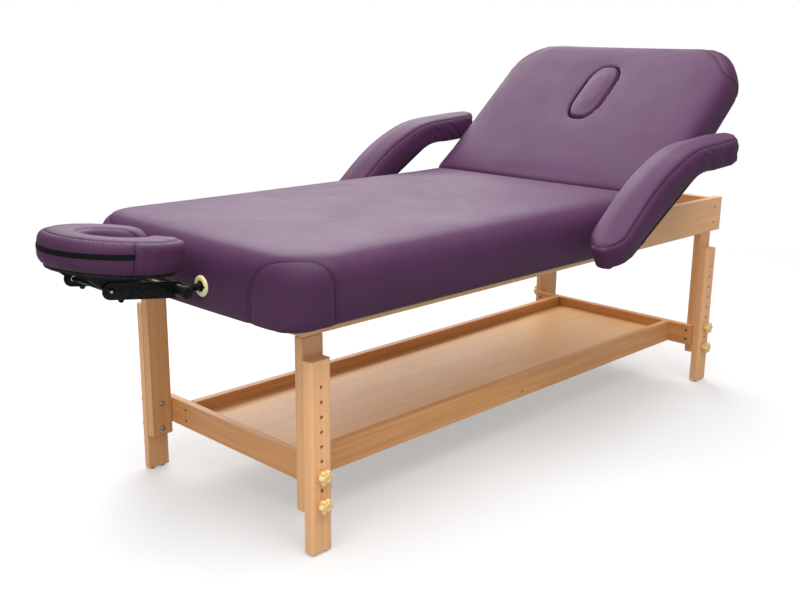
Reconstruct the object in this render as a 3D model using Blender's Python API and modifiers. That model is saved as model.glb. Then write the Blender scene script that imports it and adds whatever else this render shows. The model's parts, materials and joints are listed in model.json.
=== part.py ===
"""Massage table: wooden frame on adjustable legs, shelf, cushion, lifting backrest, armrests and headrest.

Metres, +Z up. +X runs from the headrest to the backrest and -Y is the near side.
Lengths along X start at the outer faces of the head legs; the finished table is then
moved along X so that the world origin lies on the floor, under the middle of its box.
"""

import math

import bmesh
import bpy
from mathutils import Matrix, Vector

# Clearances
SEAT_GAP = 0.0003
RUNNING_GAP = 0.0005

# Wooden frame
FRAME_LENGTH = 1.743
FRAME_WIDTH = 0.605
RAIL_HEIGHT = 0.105
RAIL_THICKNESS = 0.024
RAIL_BOTTOM = 0.485
WOOD_EDGE = 0.002
BACK_RAIL_INSET = 0.031
SCREW_HOLE_RADIUS = 0.004
SCREW_HOLE_DEPTH = 0.006
RAIL_SCREW_INSET = 0.0275

# Legs
LEG_WIDTH = 0.057
LEG_THICKNESS = 0.025
BACK_LEG_INSET = 0.0575
UPPER_LEG_MARGIN = 0.018
LEG_HEADROOM = 0.048
LOWER_LEG_ROUND = 0.008
FOOT_HEIGHT = 0.005
FOOT_PLATE = 0.0015
GLIDE_RADIUS = 0.007
GLIDE_SPACING = 0.028
HOLE_COUNT = 9
HOLE_PITCH = 0.033
TOP_HOLE_DROP = 0.058
LOCK_HOLES = (6, 8)

# Star knobs
STUD_RADIUS = 0.004
STUD_PROTRUSION = 0.003
KNOB_RADIUS = 0.018
KNOB_LOBES = 6
KNOB_LOBE_DEPTH = 0.0035
KNOB_NECK_RADIUS = 0.0095
KNOB_NECK_LENGTH = 0.006
KNOB_THICKNESS = 0.014
KNOB_ROUND = 0.003

# Shelf
SHELF_WIDTH = 0.454
SHELF_RAIL_BOTTOM = 0.125
SHELF_RAIL_HEIGHT = 0.065
SHELF_RAIL_THICKNESS = 0.021
SHELF_DEPTH = 0.030
SHELF_PANEL_THICKNESS = 0.009
BATTEN_WIDTH = 0.040
BATTEN_HEIGHT = 0.022
SHELF_SCREW_SPACING = 0.028
LEG_SCREW_INSET = 0.014

# Main cushion and its deck box
DECK_WIDTH = 0.730
DECK_THICKNESS = 0.012
DECK_OVERHANG = 0.055
DECK_CORNER = 0.075
APRON_DEPTH = 0.073
SIDE_PADDING = 0.040
HEAD_OVERHANG = 0.088
SKIRT_DROP = 0.0008
FOAM_THICKNESS = 0.0707
CUSHION_CROWN = 0.005
CROWN_START = 0.061
CROWN_START_DROP = 0.0015
CROWN_END = 0.162
CUSHION_EDGE = 0.055
CUSHION_CORNER = 0.110
CUSHION_DRAW_IN = 0.020
CREASE_EDGE = 0.024
CREASE_CORNER = 0.018
CREASE_BLEND = 0.090
# How much of the draw-in is left at a share of the side's depth, from the underside up
SIDE_BULGE = ((1.0, 0.0), (0.35, 0.2), (0.0, 0.55))

# Backrest
HINGE_X = 1.165
CREASE_HALF_GAP = 0.005
BACKREST_LENGTH = 0.618
BACKREST_ANGLE = math.radians(40)
BACKREST_EDGE = 0.036
BACKREST_CORNER = 0.140
BACKREST_DRAW_IN = 0.010
BACKREST_SKIRT = 0.028
BOARD_MARGIN = 0.034
BOARD_CORNER = 0.090
PLUG_CENTRE = 0.385
PLUG_HALF_LENGTH = 0.116
PLUG_HALF_WIDTH = 0.053
PLUG_SQUARENESS = 0.7
PLUG_RISE = 0.008
PLUG_GAP = 0.0015
PLUG_EDGE = 0.012
PLUG_LEDGE = 0.015
PLUG_CROWN_SHARE = 0.5

# Backrest hinge
KNUCKLE_RADIUS = 0.0042
HINGE_PIN_RADIUS = 0.0022
HINGE_LENGTH = 0.500
LEAF_THICKNESS = 0.002
LEAF_DROP = 0.120
LEAF_FLANGE = 0.042
MIDDLE_KNUCKLE_LENGTH = 0.250

# Backrest stays
STAY_RADIUS = 0.170
STAY_WIDTH = 0.024
STAY_THICKNESS = 0.004
STAY_RAIL_GAP = 0.001
STAY_BOLT_DROP = 0.024
STAY_TRAVEL_UP = math.radians(20)
STAY_END = math.radians(3)
STAY_FOOT_LENGTH = 0.060
STAY_FOOT_WIDTH = 0.034
STAY_BOLT_DEPTH = 0.016

# Armrests
ARMREST_GAP = 0.015
ARMREST_WIDTH = 0.115
ARMREST_PAD_THICKNESS = 0.056
ARMREST_BOARD_THICKNESS = 0.010
ARMREST_BOARD_MARGIN = 0.0075
ARMREST_BEND_SETBACK = 0.013
ARMREST_BEND_RISE = 0.2087
ARMREST_LOWER_ANGLE = math.radians(31)
ARMREST_UPPER_ANGLE = math.radians(4)
ARMREST_LOWER_LENGTH = 0.428
ARMREST_UPPER_LENGTH = 0.246
ARMREST_BEND_RADIUS = 0.300
ARMREST_EDGE = 0.018
ARMREST_CROWN = 0.004
ARMREST_DRAW_IN = 0.0035
ARMREST_BULGE_HEIGHT = 0.0182
ARMREST_PIVOT_REACH = 0.1772
ARMREST_PIVOT_DROP = 0.042
ARMREST_LUG_THICKNESS = 0.006
ARMREST_LUG_RADIUS = 0.020
ARMREST_LUG_FLARE = 0.032
ARMREST_STOP = 0.016
BOLT_RADIUS = 0.005
BOLT_SHOULDER_RADIUS = 0.012
BOLT_REACH = 0.020
BOLT_KNOB_RADIUS = 0.016
BOLT_KNOB_LENGTH = 0.018
BOLT_KNOB_EASE = 0.0032
# Where the pad's sections stand along its two straight parts, closer together at the round ends
LOWER_STATIONS = (0, 0.015, 0.04, 0.08, 0.15, 0.35, 0.57, 0.80)
UPPER_STATIONS = (0.60, 0.30, 0.16, 0.08, 0.03, 0)
BEND_STEPS = 6
STOP_STATION = -4

# Headrest
ROD_SPACING = 0.172
ROD_RADIUS = 0.008
ROD_DROP = 0.020
ROD_INSERTION = 0.115
SOCKET_WALL = 0.0025
SOCKET_FLANGE_RADIUS = 0.023
SOCKET_FLANGE = 0.005
HUB_STANDOFF = 0.057
HUB_RADIUS = 0.0135
HUB_WIDTH = 0.0205
CROSS_BAR_RADIUS = 0.006
CROSS_BAR_SETBACK = 0.030
AXLE_RADIUS = 0.004
CAM_KNOB_RADIUS = 0.0135
CAM_KNOB_LENGTH = 0.020
CAM_KNOB_EASE = 0.0027
AXLE_NUT_RADIUS = 0.0075
AXLE_NUT_LENGTH = 0.006
PIN_HEAD_FACE = 0.00525
ARM_LENGTH = 0.1506
ARM_RISE = math.radians(8.4)
ARM_HALF_HEIGHT = 0.0175
ARM_THICKNESS = 0.004
ARM_WEB_START = 0.022
ARM_WEB_LENGTH = 0.022
NUB_RADIUS = 0.006
NUB_SETBACK = 0.025
BRACKET_THICKNESS = 0.004
BRACKET_FRONT = 0.045
BRACKET_STRIP = 0.030
BRACKET_REAR = 0.060
BRACKET_LIP = 0.010
BRACKET_TIP = 0.013
PLATFORM_TILT = math.radians(7)
PLATFORM_THICKNESS = 0.006
PLATFORM_RISE = 0.0323
PLATFORM_MARGIN = 0.014
HEADREST_FORWARD = 0.0454
HEADREST_RADIUS = 0.102
HEADREST_PAD_WIDTH = 0.088
HEADREST_PAD_THICKNESS = 0.069
HEADREST_OPENING = math.radians(20)
PAD_SQUARENESS = 0.5
PAD_TIP_RISE = 0.6
TIP_STATIONS = (0, 0.08, 0.25, 0.55)
CRESCENT_STEPS = 20
BAND_REACH = math.radians(80)
BAND_RISE = 0.005
BAND_HEIGHT = 0.013
BAND_THICKNESS = 0.0015
BAND_STEPS = 24

# Rounding and shading that several pieces share
ROUND_END_LEAST = 0.4
SMOOTH_ANGLE = math.radians(35)

# Values worked out from the sizes above
RAIL_TOP = RAIL_BOTTOM + RAIL_HEIGHT
HALF_FRAME = FRAME_WIDTH / 2
RAIL_INNER = HALF_FRAME - RAIL_THICKNESS
HALF_DECK = DECK_WIDTH / 2
HALF_TABLE = HALF_DECK + SIDE_PADDING
BACK_RAIL_X = FRAME_LENGTH - BACK_RAIL_INSET - RAIL_THICKNESS
BACK_LEG_X = FRAME_LENGTH - BACK_LEG_INSET - LEG_WIDTH
DECK_BOTTOM = RAIL_TOP + SEAT_GAP
DECK_TOP = DECK_BOTTOM + DECK_THICKNESS
APRON_BOTTOM = DECK_BOTTOM - APRON_DEPTH
CUSHION_BOTTOM = APRON_BOTTOM - SKIRT_DROP
CUSHION_TOP = DECK_TOP + FOAM_THICKNESS
HINGE_Z = CUSHION_TOP - CUSHION_CROWN - CREASE_EDGE
CREASE_X = HINGE_X - CREASE_HALF_GAP
LOWER_LEG_TOP = RAIL_BOTTOM - LEG_HEADROOM
LOCK_HEIGHTS = [LOWER_LEG_TOP - TOP_HOLE_DROP - HOLE_PITCH * hole for hole in LOCK_HOLES]
UPPER_LEG_BOTTOM = min(LOCK_HEIGHTS) - UPPER_LEG_MARGIN
STUD_BORE = STUD_RADIUS + RUNNING_GAP
SLOT_HALF_WIDTH = STUD_RADIUS + RUNNING_GAP
SLOT_MARGIN = math.asin(SLOT_HALF_WIDTH / STAY_RADIUS)
ROD_HEIGHT = RAIL_TOP - ROD_DROP
HUB_X = -HEAD_OVERHANG - HUB_STANDOFF
HUB_INNER = ROD_SPACING / 2 - ROD_RADIUS
HUB_OUTER = HUB_INNER + HUB_WIDTH
ARM_OUTER = HUB_INNER - RUNNING_GAP
ARM_INNER = ARM_OUTER - ARM_THICKNESS
AXLE_BORE = AXLE_RADIUS + RUNNING_GAP
SIDES = (("near", -1), ("far", 1))
ENDS = (("head", 0.0), ("back", BACK_LEG_X))

PARTS = bpy.data.collections.new("massage_table")
TOOLS = bpy.data.collections.new("cutters")
FINISHES = {
    "beech": ((0.60, 0.36, 0.18), 0.45, 0.0),
    "veneer": ((0.55, 0.36, 0.17), 0.35, 0.0),
    "knob_wood": ((0.72, 0.50, 0.20), 0.40, 0.0),
    "plywood": ((0.55, 0.40, 0.24), 0.60, 0.0),
    "vinyl": ((0.30, 0.18, 0.31), 0.45, 0.0),
    "black_board": ((0.02, 0.02, 0.02), 0.55, 0.0),
    "black_metal": ((0.02, 0.02, 0.02), 0.35, 0.6),
    "black_plastic": ((0.02, 0.02, 0.02), 0.45, 0.0),
    "black_webbing": ((0.02, 0.02, 0.02), 0.80, 0.0),
    "steel": ((0.60, 0.60, 0.60), 0.30, 1.0),
    "cream_plastic": ((0.72, 0.66, 0.40), 0.40, 0.0),
    "glide_plastic": ((0.05, 0.05, 0.05), 0.60, 0.0),
}


# Building blocks

def clear_scene():
    """Removes whatever the scene holds and links the two collections of the model."""
    for old in list(bpy.data.objects):
        bpy.data.objects.remove(old)
    bpy.context.scene.collection.children.link(PARTS)
    bpy.context.scene.collection.children.link(TOOLS)
    for name, (colour, roughness, metallic) in FINISHES.items():
        shader = bpy.data.materials.new(name)
        shader.use_nodes = True
        surface = shader.node_tree.nodes["Principled BSDF"]
        surface.inputs["Base Color"].default_value = (*colour, 1)
        surface.inputs["Roughness"].default_value = roughness
        surface.inputs["Metallic"].default_value = metallic


def add_pivot(name, parent, location, turn=0.0):
    """An empty at location, turned about Y, that carries the pieces of one assembly."""
    pivot = bpy.data.objects.new(name, None)
    pivot.parent = parent
    pivot.location = location
    pivot.rotation_euler.y = turn
    PARTS.objects.link(pivot)
    return pivot


def add_part(name, mesh, parent, finish):
    """A finished piece, shaded smooth apart from its sharp edges."""
    mesh.shade_smooth()
    mesh.set_sharp_from_angle(angle=SMOOTH_ANGLE)
    mesh.materials.append(bpy.data.materials[finish])
    part = bpy.data.objects.new(name, mesh)
    part.parent = parent
    PARTS.objects.link(part)
    return part


def shape(part, mesh, operation):
    """Cuts mesh from part, or joins it on, with a Boolean in the part's own frame."""
    tool = bpy.data.objects.new(part.name + "_tool", mesh)
    tool.parent = part.parent
    tool.hide_render = True
    tool.display_type = "WIRE"
    TOOLS.objects.link(tool)
    boolean = part.modifiers.new(operation.lower(), "BOOLEAN")
    boolean.operation = operation
    boolean.object = tool


def cut(part, mesh):
    """Cuts mesh from part."""
    shape(part, mesh, "DIFFERENCE")


def join(part, mesh):
    """Joins mesh on to part."""
    shape(part, mesh, "UNION")


def mesh_from(work):
    """A mesh datablock from a bmesh, with its faces pointing outwards."""
    bmesh.ops.recalc_face_normals(work, faces=work.faces)
    mesh = bpy.data.meshes.new("shape")
    work.to_mesh(mesh)
    work.free()
    return mesh


def box(low, high):
    """A box between two corners."""
    low, high = Vector(low), Vector(high)
    stretch = Matrix.Diagonal((*(high - low), 1))
    work = bmesh.new()
    bmesh.ops.create_cube(work, size=1, matrix=Matrix.Translation((low + high) / 2) @ stretch)
    return mesh_from(work)


def cylinder(start, end, radius, segments=16):
    """A closed cylinder between two points."""
    start, end = Vector(start), Vector(end)
    along = end - start
    turn = along.to_track_quat("Z", "Y").to_matrix().to_4x4()
    work = bmesh.new()
    bmesh.ops.create_cone(
        work, cap_ends=True, segments=segments, radius1=radius, radius2=radius,
        depth=along.length, matrix=Matrix.Translation((start + end) / 2) @ turn,
    )
    return mesh_from(work)


def loft(rings):
    """A closed skin through rings of equally many points, capped at both ends."""
    work = bmesh.new()
    rows = [[work.verts.new(point) for point in ring] for ring in rings]
    for lower, upper in zip(rows, rows[1:]):
        for i in range(len(lower)):
            j = (i + 1) % len(lower)
            work.faces.new((lower[i], lower[j], upper[j], upper[i]))
    work.faces.new(rows[0])
    work.faces.new(rows[-1])
    return mesh_from(work)


def plate(outline, centre_y, thickness):
    """A flat plate with an outline in XZ, its thickness along Y."""
    curve = bpy.data.curves.new("outline", "CURVE")
    curve.dimensions = "2D"
    curve.fill_mode = "BOTH"
    curve.extrude = thickness / 2
    spline = curve.splines.new("POLY")
    spline.points.add(len(outline) - 1)
    spline.use_cyclic_u = True
    for point, (x, z) in zip(spline.points, outline):
        point.co = (x, z, 0, 1)
    sheet = bpy.data.objects.new("outline", curve)
    TOOLS.objects.link(sheet)
    graph = bpy.context.evaluated_depsgraph_get()
    flat = bpy.data.meshes.new_from_object(sheet.evaluated_get(graph))
    bpy.data.objects.remove(sheet)
    work = bmesh.new()
    work.from_mesh(flat)
    bmesh.ops.remove_doubles(work, verts=work.verts, dist=1e-6)
    stand = Matrix.Translation((0, centre_y, 0)) @ Matrix.Rotation(math.radians(90), 4, "X")
    bmesh.ops.transform(work, matrix=stand, verts=work.verts)
    return mesh_from(work)


def turned(profile):
    """The edge line of a turned piece: (radius, height) points down its outer side, around Z."""
    work = bmesh.new()
    points = [work.verts.new((radius, 0, height)) for radius, height in profile]
    for first, second in zip(points, points[1:]):
        work.edges.new((first, second))
    mesh = bpy.data.meshes.new("profile")
    work.to_mesh(mesh)
    work.free()
    return mesh


def spin(part, steps=24):
    """Turns a part's profile into a solid around its own Z axis."""
    screw = part.modifiers.new("turn", "SCREW")
    screw.steps = steps
    screw.render_steps = steps
    screw.use_merge_vertices = True
    screw.merge_threshold = 1e-5


def arc(centre, radius, start, end, steps):
    """Points in XZ along an arc, with angles from +X towards +Z."""
    turn = (end - start) / steps
    return [
        (centre[0] + radius * math.cos(start + turn * i), centre[1] + radius * math.sin(start + turn * i))
        for i in range(steps + 1)
    ]


def wood(name, low, high, parent, finish="beech"):
    """A planed board with its edges eased."""
    part = add_part(name, box(low, high), parent, finish)
    bevel = part.modifiers.new("eased_edges", "BEVEL")
    bevel.width = WOOD_EDGE
    bevel.segments = 2
    return part


def screw_hole(part, point, inward):
    """A small counterbored screw hole at a point of the surface."""
    point, reach = Vector(point), Vector(inward) * SCREW_HOLE_DEPTH
    cut(part, cylinder(point - reach, point + reach, SCREW_HOLE_RADIUS, 10))


# Frame and shelf

def build_frame(root):
    """Side rails on the legs, with the head, back and hinge rails between them."""
    for side, sign in SIDES:
        faces = sorted((sign * RAIL_INNER, sign * HALF_FRAME))
        rail = wood(f"side_rail_{side}", (0, faces[0], RAIL_BOTTOM), (FRAME_LENGTH, faces[1], RAIL_TOP), root)
        for height in (RAIL_BOTTOM + RAIL_SCREW_INSET, RAIL_TOP - RAIL_SCREW_INSET):
            place = (BACK_RAIL_X + RAIL_THICKNESS / 2, sign * HALF_FRAME, height)
            screw_hole(rail, place, (0, -sign, 0))
        bolt_x, bolt_z = stay_bolt()
        cut(rail, cylinder(
            (bolt_x, sign * (RAIL_INNER - RAIL_THICKNESS), bolt_z),
            (bolt_x, sign * (RAIL_INNER + STAY_BOLT_DEPTH + RUNNING_GAP), bolt_z), STUD_BORE,
        ))
    half = RAIL_INNER - SEAT_GAP
    starts = {
        "head_rail": 0.0,
        "hinge_rail": CREASE_X - RAIL_THICKNESS,
        "back_rail": BACK_RAIL_X,
    }
    for name, start in starts.items():
        rail = wood(name, (start, -half, RAIL_BOTTOM), (start + RAIL_THICKNESS, half, RAIL_TOP), root)
        if name == "head_rail":
            cut_socket_bores(rail)


def build_upper_legs(root):
    """Fixed upper legs under the side rails, bored for the studs."""
    for side, sign in SIDES:
        faces = sorted((sign * HALF_FRAME, sign * (HALF_FRAME - LEG_THICKNESS)))
        for end, start in ENDS:
            leg = wood(
                f"upper_leg_{side}_{end}", (start, faces[0], UPPER_LEG_BOTTOM),
                (start + LEG_WIDTH, faces[1], RAIL_BOTTOM - SEAT_GAP), root,
            )
            for height in LOCK_HEIGHTS:
                cut(leg, cylinder(
                    (start + LEG_WIDTH / 2, sign * (HALF_FRAME - 2 * LEG_THICKNESS), height),
                    (start + LEG_WIDTH / 2, sign * (HALF_FRAME + LEG_THICKNESS), height), STUD_BORE, 12,
                ))


def build_lower_legs(root):
    """Sliding lower legs with their rows of holes, their feet and the star knobs that clamp them."""
    inner = HALF_FRAME + RUNNING_GAP
    outer = inner + LEG_THICKNESS
    for side, sign in SIDES:
        for end, start in ENDS:
            name = f"{side}_{end}"
            slide = add_pivot(f"slide_{name}", root, (start + LEG_WIDTH / 2, sign * (inner + outer) / 2, 0))
            half = Vector((LEG_WIDTH / 2, LEG_THICKNESS / 2, 0))
            low, high = Vector((0, 0, FOOT_HEIGHT + SEAT_GAP)) - half, Vector((0, 0, LOWER_LEG_TOP)) + half
            leg = add_part(f"lower_leg_{name}", box(low, high), slide, "beech")
            round_outer_edges(leg, sign)
            for hole in range(HOLE_COUNT):
                height = LOWER_LEG_TOP - TOP_HOLE_DROP - HOLE_PITCH * hole
                cut(leg, cylinder((0, -LEG_THICKNESS, height), (0, LEG_THICKNESS, height), STUD_BORE, 10))
            build_foot(name, slide)
            for number, height in enumerate(LOCK_HEIGHTS):
                label = ("upper", "lower")[number]
                place = (start + LEG_WIDTH / 2, sign * (outer + SEAT_GAP), height)
                build_star_knob(
                    f"star_knob_{name}_{label}", root, place, sign,
                    outer - HALF_FRAME + LEG_THICKNESS + STUD_PROTRUSION,
                )


def round_outer_edges(leg, sign):
    """Rounds the two upright edges of a lower leg that face away from the table."""
    work = bmesh.new()
    work.from_mesh(leg.data)
    edges = [
        edge for edge in work.edges
        if all(sign * vert.co.y > 0 for vert in edge.verts)
        and abs(edge.verts[0].co.z - edge.verts[1].co.z) > LEG_WIDTH
    ]
    bmesh.ops.bevel(work, geom=edges, offset=LOWER_LEG_ROUND, segments=4, profile=0.5, affect="EDGES")
    work.to_mesh(leg.data)
    work.free()
    leg.data.shade_smooth()
    leg.data.set_sharp_from_angle(angle=SMOOTH_ANGLE)


def build_foot(name, slide):
    """A thin plate with two round glides under a lower leg."""
    half_x, half_y = LEG_WIDTH / 2 - WOOD_EDGE, LEG_THICKNESS / 2 - LOWER_LEG_ROUND / 2
    low = (-half_x, -half_y, FOOT_HEIGHT - FOOT_PLATE)
    foot = add_part(f"foot_{name}", box(low, (half_x, half_y, FOOT_HEIGHT)), slide, "glide_plastic")
    for x in (-GLIDE_SPACING / 2, GLIDE_SPACING / 2):
        join(foot, cylinder((x, 0, 0), (x, 0, FOOT_HEIGHT - FOOT_PLATE / 2), GLIDE_RADIUS, 12))


def lobed_ring(radius, depth, height, points=24):
    """A ring of points at a height, with its lobes cut in by depth."""
    ring = []
    for i in range(points):
        angle = 2 * math.pi * i / points
        reach = radius - depth * (0.5 - 0.5 * math.cos(KNOB_LOBES * angle))
        ring.append((reach * math.cos(angle), reach * math.sin(angle), height))
    return ring


def build_star_knob(name, parent, place, sign, stud_length):
    """A lobed knob on a threaded stud, its axis along Y and its grip on the outer side."""
    top = KNOB_NECK_LENGTH + KNOB_THICKNESS
    face = KNOB_RADIUS - KNOB_ROUND
    knob = add_part(name, loft([
        lobed_ring(STUD_RADIUS, 0, -stud_length),
        lobed_ring(STUD_RADIUS, 0, 0),
        lobed_ring(KNOB_NECK_RADIUS, 0, 0),
        lobed_ring(KNOB_NECK_RADIUS, 0, KNOB_NECK_LENGTH),
        lobed_ring(face, KNOB_LOBE_DEPTH, KNOB_NECK_LENGTH),
        lobed_ring(KNOB_RADIUS, KNOB_LOBE_DEPTH, KNOB_NECK_LENGTH + KNOB_ROUND),
        lobed_ring(KNOB_RADIUS, KNOB_LOBE_DEPTH, top - KNOB_ROUND),
        lobed_ring(face, KNOB_LOBE_DEPTH, top),
    ]), parent, "knob_wood")
    knob.location = place
    knob.rotation_euler.x = -sign * math.radians(90)


def build_shelf(root):
    """Cross rails on the legs, long rails between them, and the panel on its batten."""
    top = SHELF_RAIL_BOTTOM + SHELF_RAIL_HEIGHT
    head = LEG_WIDTH + SEAT_GAP
    back = BACK_LEG_X - SEAT_GAP - SHELF_RAIL_THICKNESS
    outer = SHELF_WIDTH / 2
    inner = outer - SHELF_RAIL_THICKNESS
    middle = (SHELF_RAIL_BOTTOM + top) / 2
    screws = (middle - SHELF_SCREW_SPACING / 2, middle + SHELF_SCREW_SPACING / 2)
    for end, start, inset in (
        ("head", head, HALF_FRAME - outer + SHELF_RAIL_THICKNESS / 2), ("back", back, LEG_SCREW_INSET),
    ):
        rail = wood(
            f"shelf_cross_{end}", (start, -HALF_FRAME, SHELF_RAIL_BOTTOM),
            (start + SHELF_RAIL_THICKNESS, HALF_FRAME, top), root,
        )
        for _, sign in SIDES:
            for height in screws:
                screw_hole(rail, (start, sign * (HALF_FRAME - inset), height), (1, 0, 0))
    first, last = head + SHELF_RAIL_THICKNESS + SEAT_GAP, back - SEAT_GAP
    panel_top = top - SHELF_DEPTH
    batten_top = panel_top - SHELF_PANEL_THICKNESS - SEAT_GAP
    for side, sign in SIDES:
        faces = sorted((sign * inner, sign * outer))
        rail = wood(f"shelf_rail_{side}", (first, faces[0], SHELF_RAIL_BOTTOM), (last, faces[1], top), root)
        screw_hole(rail, ((first + last) / 2, sign * outer, batten_top - BATTEN_HEIGHT / 2), (0, -sign, 0))
    reach = inner - SEAT_GAP
    add_part("shelf_panel", box(
        (first, -reach, panel_top - SHELF_PANEL_THICKNESS), (last, reach, panel_top),
    ), root, "veneer")
    wood(
        "shelf_batten", ((first + last - BATTEN_WIDTH) / 2, -reach, batten_top - BATTEN_HEIGHT),
        ((first + last + BATTEN_WIDTH) / 2, reach, batten_top), root,
    )


# Main cushion and backrest cushion

def cushion_ring(crease, end, half_width, end_corner, crease_corner, side, fold):
    """One level of a box cushion, square-ended at the crease and rounded at its other end.

    side and fold are (inset, height) along the outer edges and along the crease.
    """
    way = 1 if end > crease else -1
    inset, height = side
    fold_inset, fold_height = fold
    half = half_width - inset
    round_end = max(end_corner - inset, WOOD_EDGE)
    round_fold = max(crease_corner - fold_inset, WOOD_EDGE)
    fold_x = crease + way * fold_inset
    end_x = end - way * inset
    blend = crease + way * max(CREASE_BLEND, fold_inset + round_fold + CREASE_EDGE)
    points = []
    for i in range(4):
        angle = math.radians(30 * i)
        x = fold_x + way * round_fold * (1 - math.cos(angle))
        points.append((x, half - round_fold * (1 - math.sin(angle)), fold_height))
    points.append((blend, half, height))
    for i in range(8):
        angle = math.radians(90 * i / 7)
        x = end_x - way * round_end * (1 - math.sin(angle))
        points.append((x, half - round_end * (1 - math.cos(angle)), height))
    return points + [(x, -y, z) for x, y, z in reversed(points)]


def cushion(crease, end, half_width, bottom, top, corner, edge, draw_in):
    """A crowned box cushion whose sides draw in towards its underside."""
    rim = top - CUSHION_CROWN
    depth = rim - edge - bottom
    levels = []
    for left, rise in SIDE_BULGE:
        height = bottom + depth * rise
        levels.append(((draw_in * left, height), (0, height)))
    for i in range(5):
        angle = math.radians(90 * i / 4)
        levels.append((
            (edge * (1 - math.cos(angle)), rim - edge * (1 - math.sin(angle))),
            (CREASE_EDGE * (1 - math.cos(angle)), rim - CREASE_EDGE * (1 - math.sin(angle))),
        ))
    levels.append(((edge + CROWN_START, top - CROWN_START_DROP),) * 2)
    levels.append(((edge + CROWN_END, top),) * 2)
    return loft([
        cushion_ring(crease, end, half_width, corner, CREASE_CORNER, side, fold) for side, fold in levels
    ])


def slab_between(slab, bottom, top):
    """A board with the outline of a cushion, given as cushion_ring takes it, between two heights."""
    return loft([cushion_ring(*slab, (0, height), (0, height)) for height in (bottom, top)])


def open_pocket(slab, inset, bottom, top):
    """A hollow in the outline of a board, inset from it all round and open past the crease."""
    return loft([cushion_ring(*slab, (inset, height), (-DECK_THICKNESS, height)) for height in (bottom, top)])


def cut_socket_bores(part):
    """Bores for the two headrest sockets through the head end of a piece."""
    for _, sign in SIDES:
        start = (-2 * HEAD_OVERHANG, sign * ROD_SPACING / 2, ROD_HEIGHT)
        end = (RAIL_THICKNESS * 2, sign * ROD_SPACING / 2, ROD_HEIGHT)
        cut(part, cylinder(start, end, ROD_RADIUS + RUNNING_GAP + SOCKET_WALL + SEAT_GAP))


def cut_bolt_bores(part):
    """Bores for the two armrest bolts through the sides of a piece."""
    x, z = armrest_pivot()
    for _, sign in SIDES:
        start = (x, sign * (HALF_DECK - BOLT_REACH - DECK_THICKNESS), z)
        cut(part, cylinder(start, (x, sign * HALF_TABLE * 2, z), BOLT_RADIUS + SEAT_GAP))


def build_main_cushion(root):
    """The deck box on the rails and the cushion that wraps it."""
    slab = (CREASE_X, -DECK_OVERHANG, HALF_DECK, DECK_CORNER, WOOD_EDGE)
    deck = add_part("main_deck", slab_between(slab, APRON_BOTTOM, DECK_TOP), root, "plywood")
    cut(deck, open_pocket(slab, DECK_THICKNESS, APRON_BOTTOM - DECK_THICKNESS, DECK_BOTTOM))
    pad = add_part("main_cushion", cushion(
        CREASE_X, -HEAD_OVERHANG, HALF_TABLE, CUSHION_BOTTOM, CUSHION_TOP,
        CUSHION_CORNER, CUSHION_EDGE, CUSHION_DRAW_IN,
    ), root, "vinyl")
    cut(pad, open_pocket(slab, -SEAT_GAP, CUSHION_BOTTOM - DECK_THICKNESS, DECK_TOP + SEAT_GAP))
    for part in (deck, pad):
        cut_socket_bores(part)
        cut_bolt_bores(part)


def oval(centre, half_length, half_width, height, points=32):
    """A ring of points around an oval in the plane of the backrest."""
    ring = []
    for i in range(points):
        angle = 2 * math.pi * i / points
        along, across = math.cos(angle), math.sin(angle)
        along = math.copysign(abs(along) ** PLUG_SQUARENESS, along)
        across = math.copysign(abs(across) ** PLUG_SQUARENESS, across)
        ring.append((centre + half_length * along, half_width * across, height))
    return ring


def build_backrest(root):
    """Backrest on its hinge: cushion around a board, breather plug, moving leaf and stays."""
    tilt = add_pivot("backrest_hinge", root, (HINGE_X, 0, HINGE_Z), -BACKREST_ANGLE)
    bottom = DECK_BOTTOM - HINGE_Z
    board_top = bottom + DECK_THICKNESS
    top = CUSHION_TOP - HINGE_Z
    start, end = CREASE_HALF_GAP, BACKREST_LENGTH
    skirt = bottom - BACKREST_SKIRT
    pad = add_part("backrest_cushion", cushion(
        start, end, HALF_TABLE, skirt, top, BACKREST_CORNER, BACKREST_EDGE, BACKREST_DRAW_IN,
    ), tilt, "vinyl")
    slab = (start, end - BOARD_MARGIN, HALF_TABLE - BOARD_MARGIN, BOARD_CORNER, WOOD_EDGE)
    board = add_part("backrest_board", slab_between(slab, bottom, board_top), tilt, "plywood")
    cut(pad, open_pocket(slab, -SEAT_GAP, skirt - DECK_THICKNESS, board_top + SEAT_GAP))
    hole = (PLUG_CENTRE, PLUG_HALF_LENGTH, PLUG_HALF_WIDTH)
    cut(pad, loft([oval(*hole, bottom - DECK_THICKNESS), oval(*hole, top + DECK_THICKNESS)]))
    vent = (PLUG_CENTRE, PLUG_HALF_LENGTH - PLUG_LEDGE, PLUG_HALF_WIDTH - PLUG_LEDGE)
    cut(board, loft([oval(*vent, bottom - DECK_THICKNESS), oval(*vent, board_top + DECK_THICKNESS)]))
    build_plug(tilt, board_top + SEAT_GAP, top + PLUG_RISE)
    build_hinge(root, tilt, bottom)
    for side, sign in SIDES:
        build_stay(side, sign, tilt, bottom)


def build_plug(tilt, seat, top):
    """The padded plug that fills the face hole and rests on the board."""
    lift = add_pivot("plug_slide", tilt, (PLUG_CENTRE, 0, seat))
    length, width = PLUG_HALF_LENGTH - PLUG_GAP, PLUG_HALF_WIDTH - PLUG_GAP
    height = top - seat
    rings = [oval(0, length, width, 0)]
    for i in range(4):
        angle = math.radians(30 * i)
        inset = PLUG_EDGE * (1 - math.cos(angle))
        drop = CUSHION_CROWN + PLUG_EDGE * (1 - math.sin(angle))
        rings.append(oval(0, length - inset, width - inset, height - drop))
    rings.append(oval(0, length * PLUG_CROWN_SHARE, width * PLUG_CROWN_SHARE, height))
    add_part("breather_plug", loft(rings), lift, "vinyl")


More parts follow.
